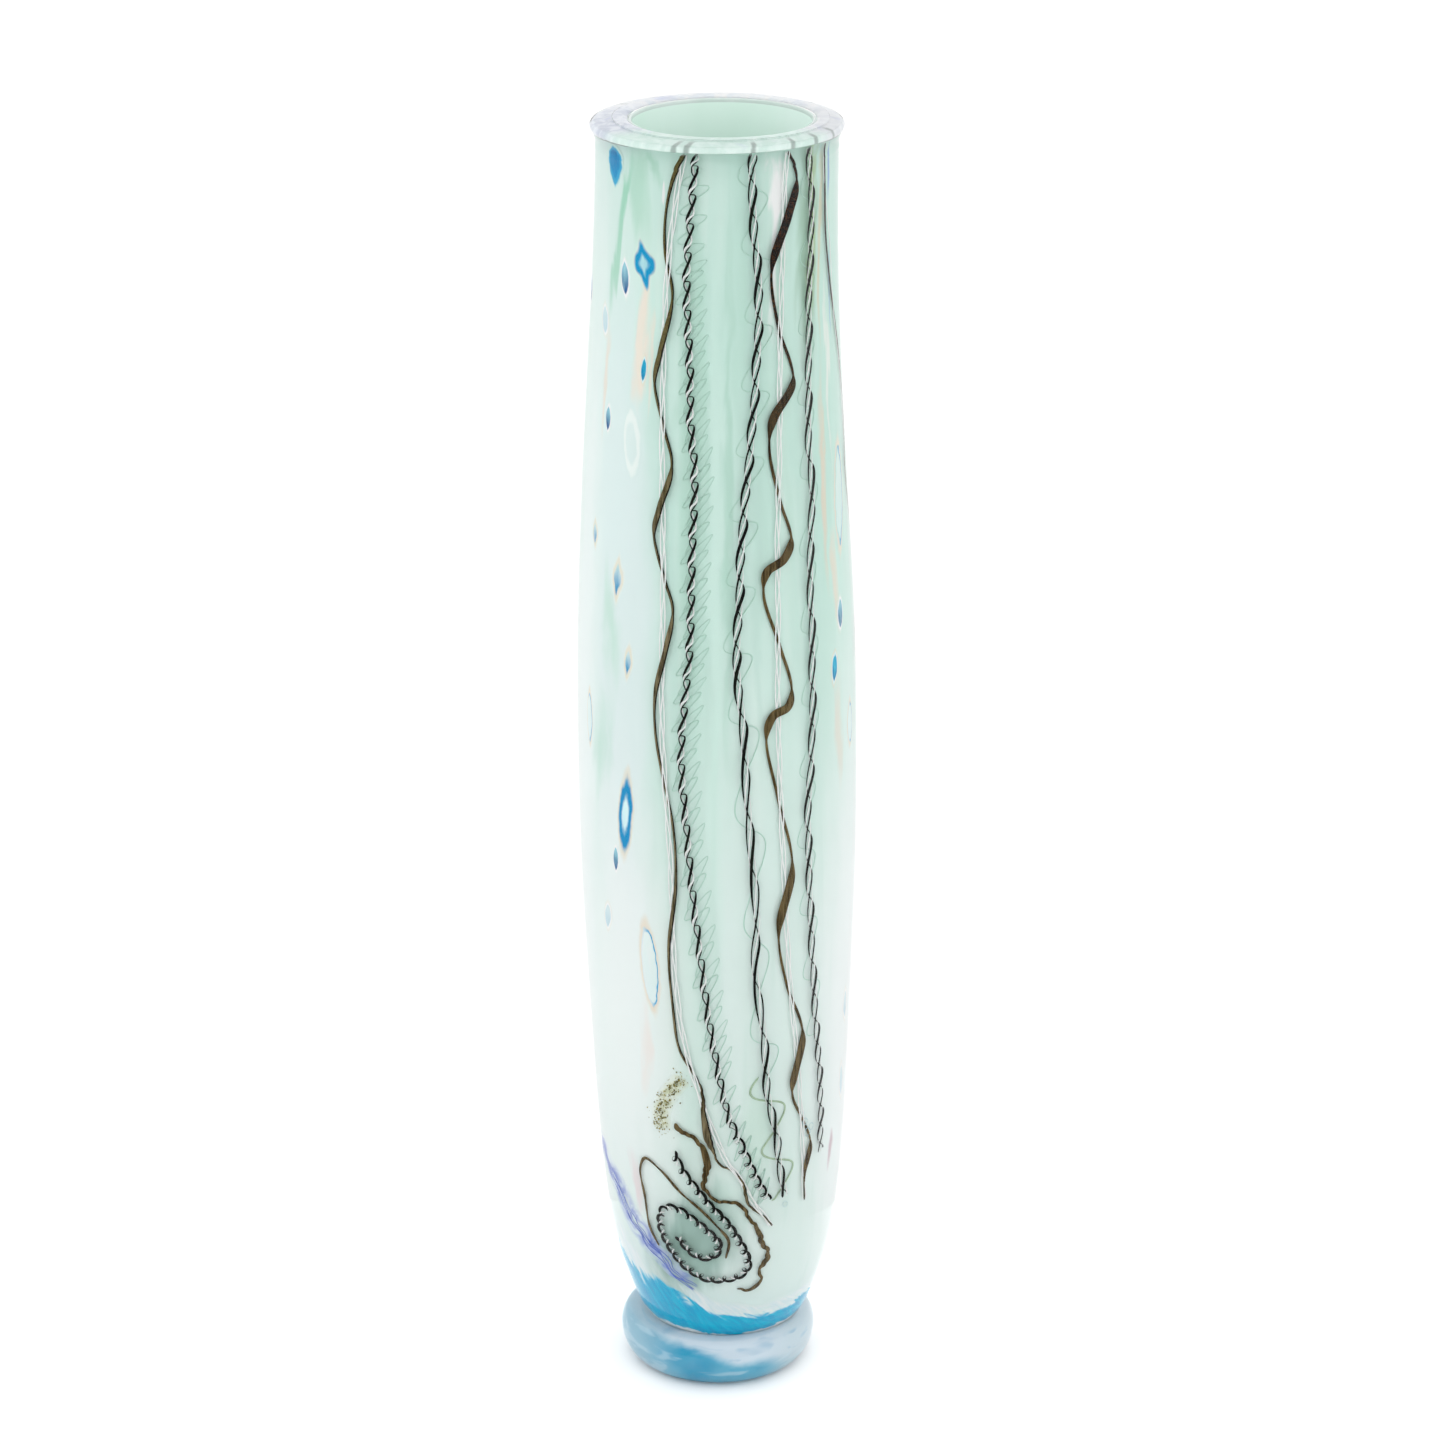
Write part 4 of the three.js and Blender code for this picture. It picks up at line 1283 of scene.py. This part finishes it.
def make_trail():
    """Violet threads in a pale veil."""
    line = cane_path("violet_trail", 0.5 * MM)
    parts = []
    for number, reach in enumerate((-1.3, -0.4, 0.4, 1.2)):
        lateral = (reach + 0.7 * wander(len(line), 6 + number, 20 + number)) * MM
        half = (0.09 + 0.07 * np.abs(wander(len(line), 9, 40 + number))) * MM
        parts.append(strand(violet_thread, line, lateral, (0.55 + 0.1 * number) * MM, half))
    veil = veil_glass("violet_veil_glass", (112, 132, 204), (196, 206, 228), 0.95, (3, 12, 1))
    parts.append(sheet_on_core(veil, line, 5.5 * MM))
    add_piece("violet_trail_threads", parts, ["violet_trail"])


FLAKES = 260


def make_flakes():
    """Small angular flakes in a yellow-green veil."""
    line = cane_path("fleck_patch", 0.5 * MM)
    draw = np.random.default_rng(11)
    cube = np.array([(x, y, z) for x in (-1, 1) for y in (-1, 1) for z in (-1, 1)])
    sides = [[0, 1, 3, 2], [4, 6, 7, 5], [0, 4, 5, 1], [2, 3, 7, 6], [0, 2, 6, 4], [1, 5, 7, 3]]
    parts = []
    for _ in range(FLAKES):
        at = draw.integers(0, len(line))
        arc = line[at, 0] + draw.normal(0, 1.5 * MM)
        z = line[at, 1] + draw.normal(0, 1.2 * MM)
        middle = on_core(arc, z, draw.uniform(0.3, 1.0) * MM)
        size = draw.uniform(0.1, 0.36) * MM
        rough = unit(draw.normal(0, 1, (8, 3)))
        parts.append((middle + size * (cube * 0.55 + rough * 0.4), sides, flake_glass))
    veil = veil_glass("flake_veil_glass", (196, 200, 158), (216, 218, 190), 0.7, (4, 9, 1))
    parts.append(sheet_on_core(veil, line, 3.6 * MM))
    add_piece("gold_flakes", parts, ["fleck_patch"])


# Bubbles in the glass: degrees from the front, height, and half width in mm.
BUBBLES = [(46, 92, 0.9), (48, 88, 1.1), (50.5, 89.5, 0.9), (35, 65, 0.8), (44, 95, 0.6)]


def make_bubbles():
    """Thin oval rings, as the edges of bubbles look."""
    parts = []
    for turn, height, half in BUBBLES:
        once_round = np.linspace(0, 2 * math.pi, 29)
        arc = math.radians(turn) * core_radius(height * MM) + half * MM * np.cos(once_round)
        up = height * MM + 1.3 * half * MM * np.sin(once_round)
        ring = tube(on_core(arc, up, 0.8 * MM), outward(arc, up), 0.1 * MM, 0.1 * MM, 8, 0.01)
        parts.append((*ring, bubble_glass))
    add_piece("small_bubbles", parts, [])


make_collar()
make_trail()
make_flakes()
make_bubbles()


# ==== Studio

def make_floor():
    """A round white table top, as thin as paper."""
    reach = TABLE_RADIUS * np.linspace(0, 1, 8)[1:, None]
    points = np.concatenate([level_rings(0.0, 0.0, reach, TABLE_STEPS), [[0, 0, 0]]])
    faces = [face[::-1] for face in grid_faces(len(reach), TABLE_STEPS)]
    faces += fan(len(points) - 1, 0, TABLE_STEPS)
    mesh = bpy.data.meshes.new("studio_floor")
    mesh.from_pydata(points.tolist(), [], faces)
    floor = bpy.data.objects.new("studio_floor", mesh)
    bpy.context.scene.collection.objects.link(floor)
    paint = Paint("white_table", linear, 0.0, 0.9)
    grain = paint.grain((8, 8, 8))
    mesh.materials.append(paint.finish(paint.mix(grain, (250, 250, 250), (253, 253, 253))))


def make_sky():
    """White light from all round, with less in the glass low down in front."""
    world = bpy.data.worlds.new("studio")
    bpy.context.scene.world = world
    world.use_nodes = True
    nodes = Nodes(world.node_tree)
    ground = world.node_tree.nodes["Background"]
    place = nodes.node("TexCoord").outputs["Generated"]
    facing = nodes.vector("DOT_PRODUCT", place, (0.0, -0.94, -0.34))
    room = nodes.ramp(facing, 0.4, 0.8, MIRRORED, MIRRORED_LOW_FRONT)
    path = nodes.node("LightPath").outputs
    through = path["Is Transmission Ray"]
    room = nodes.math("MAXIMUM", room, nodes.times(through, SEEN_THROUGH))
    bent = nodes.math("ADD", path["Is Glossy Ray"], through, True)
    in_glass = nodes.times(bent, nodes.math("SUBTRACT", 1.0, path["Diffuse Depth"], True))
    light = nodes.plus(nodes.times(in_glass, room), nodes.times(nodes.minus(1.0, in_glass), SKY_BRIGHT))
    seen = path["Is Camera Ray"]
    light = nodes.plus(nodes.times(light, nodes.minus(1.0, seen)), nodes.times(seen, BACKDROP))
    nodes.feed(ground.inputs["Strength"], light)
    ground.inputs["Color"].default_value = (1, 1, 1, 1)


def make_camera():
    """The photograph's viewpoint."""
    lens = bpy.data.cameras.new("camera")
    lens.lens = CAMERA_LENS
    lens.sensor_width = CAMERA_SENSOR
    camera = bpy.data.objects.new("camera", lens)
    camera.location = (CAMERA_RIGHT, -CAMERA_DISTANCE, CAMERA_HEIGHT)
    camera.rotation_euler = (math.pi / 2 - CAMERA_TILT, 0, 0)
    bpy.context.scene.collection.objects.link(camera)
    bpy.context.scene.camera = camera


make_floor()
make_sky()
make_camera()
bpy.context.scene.view_settings.view_transform = "Standard"
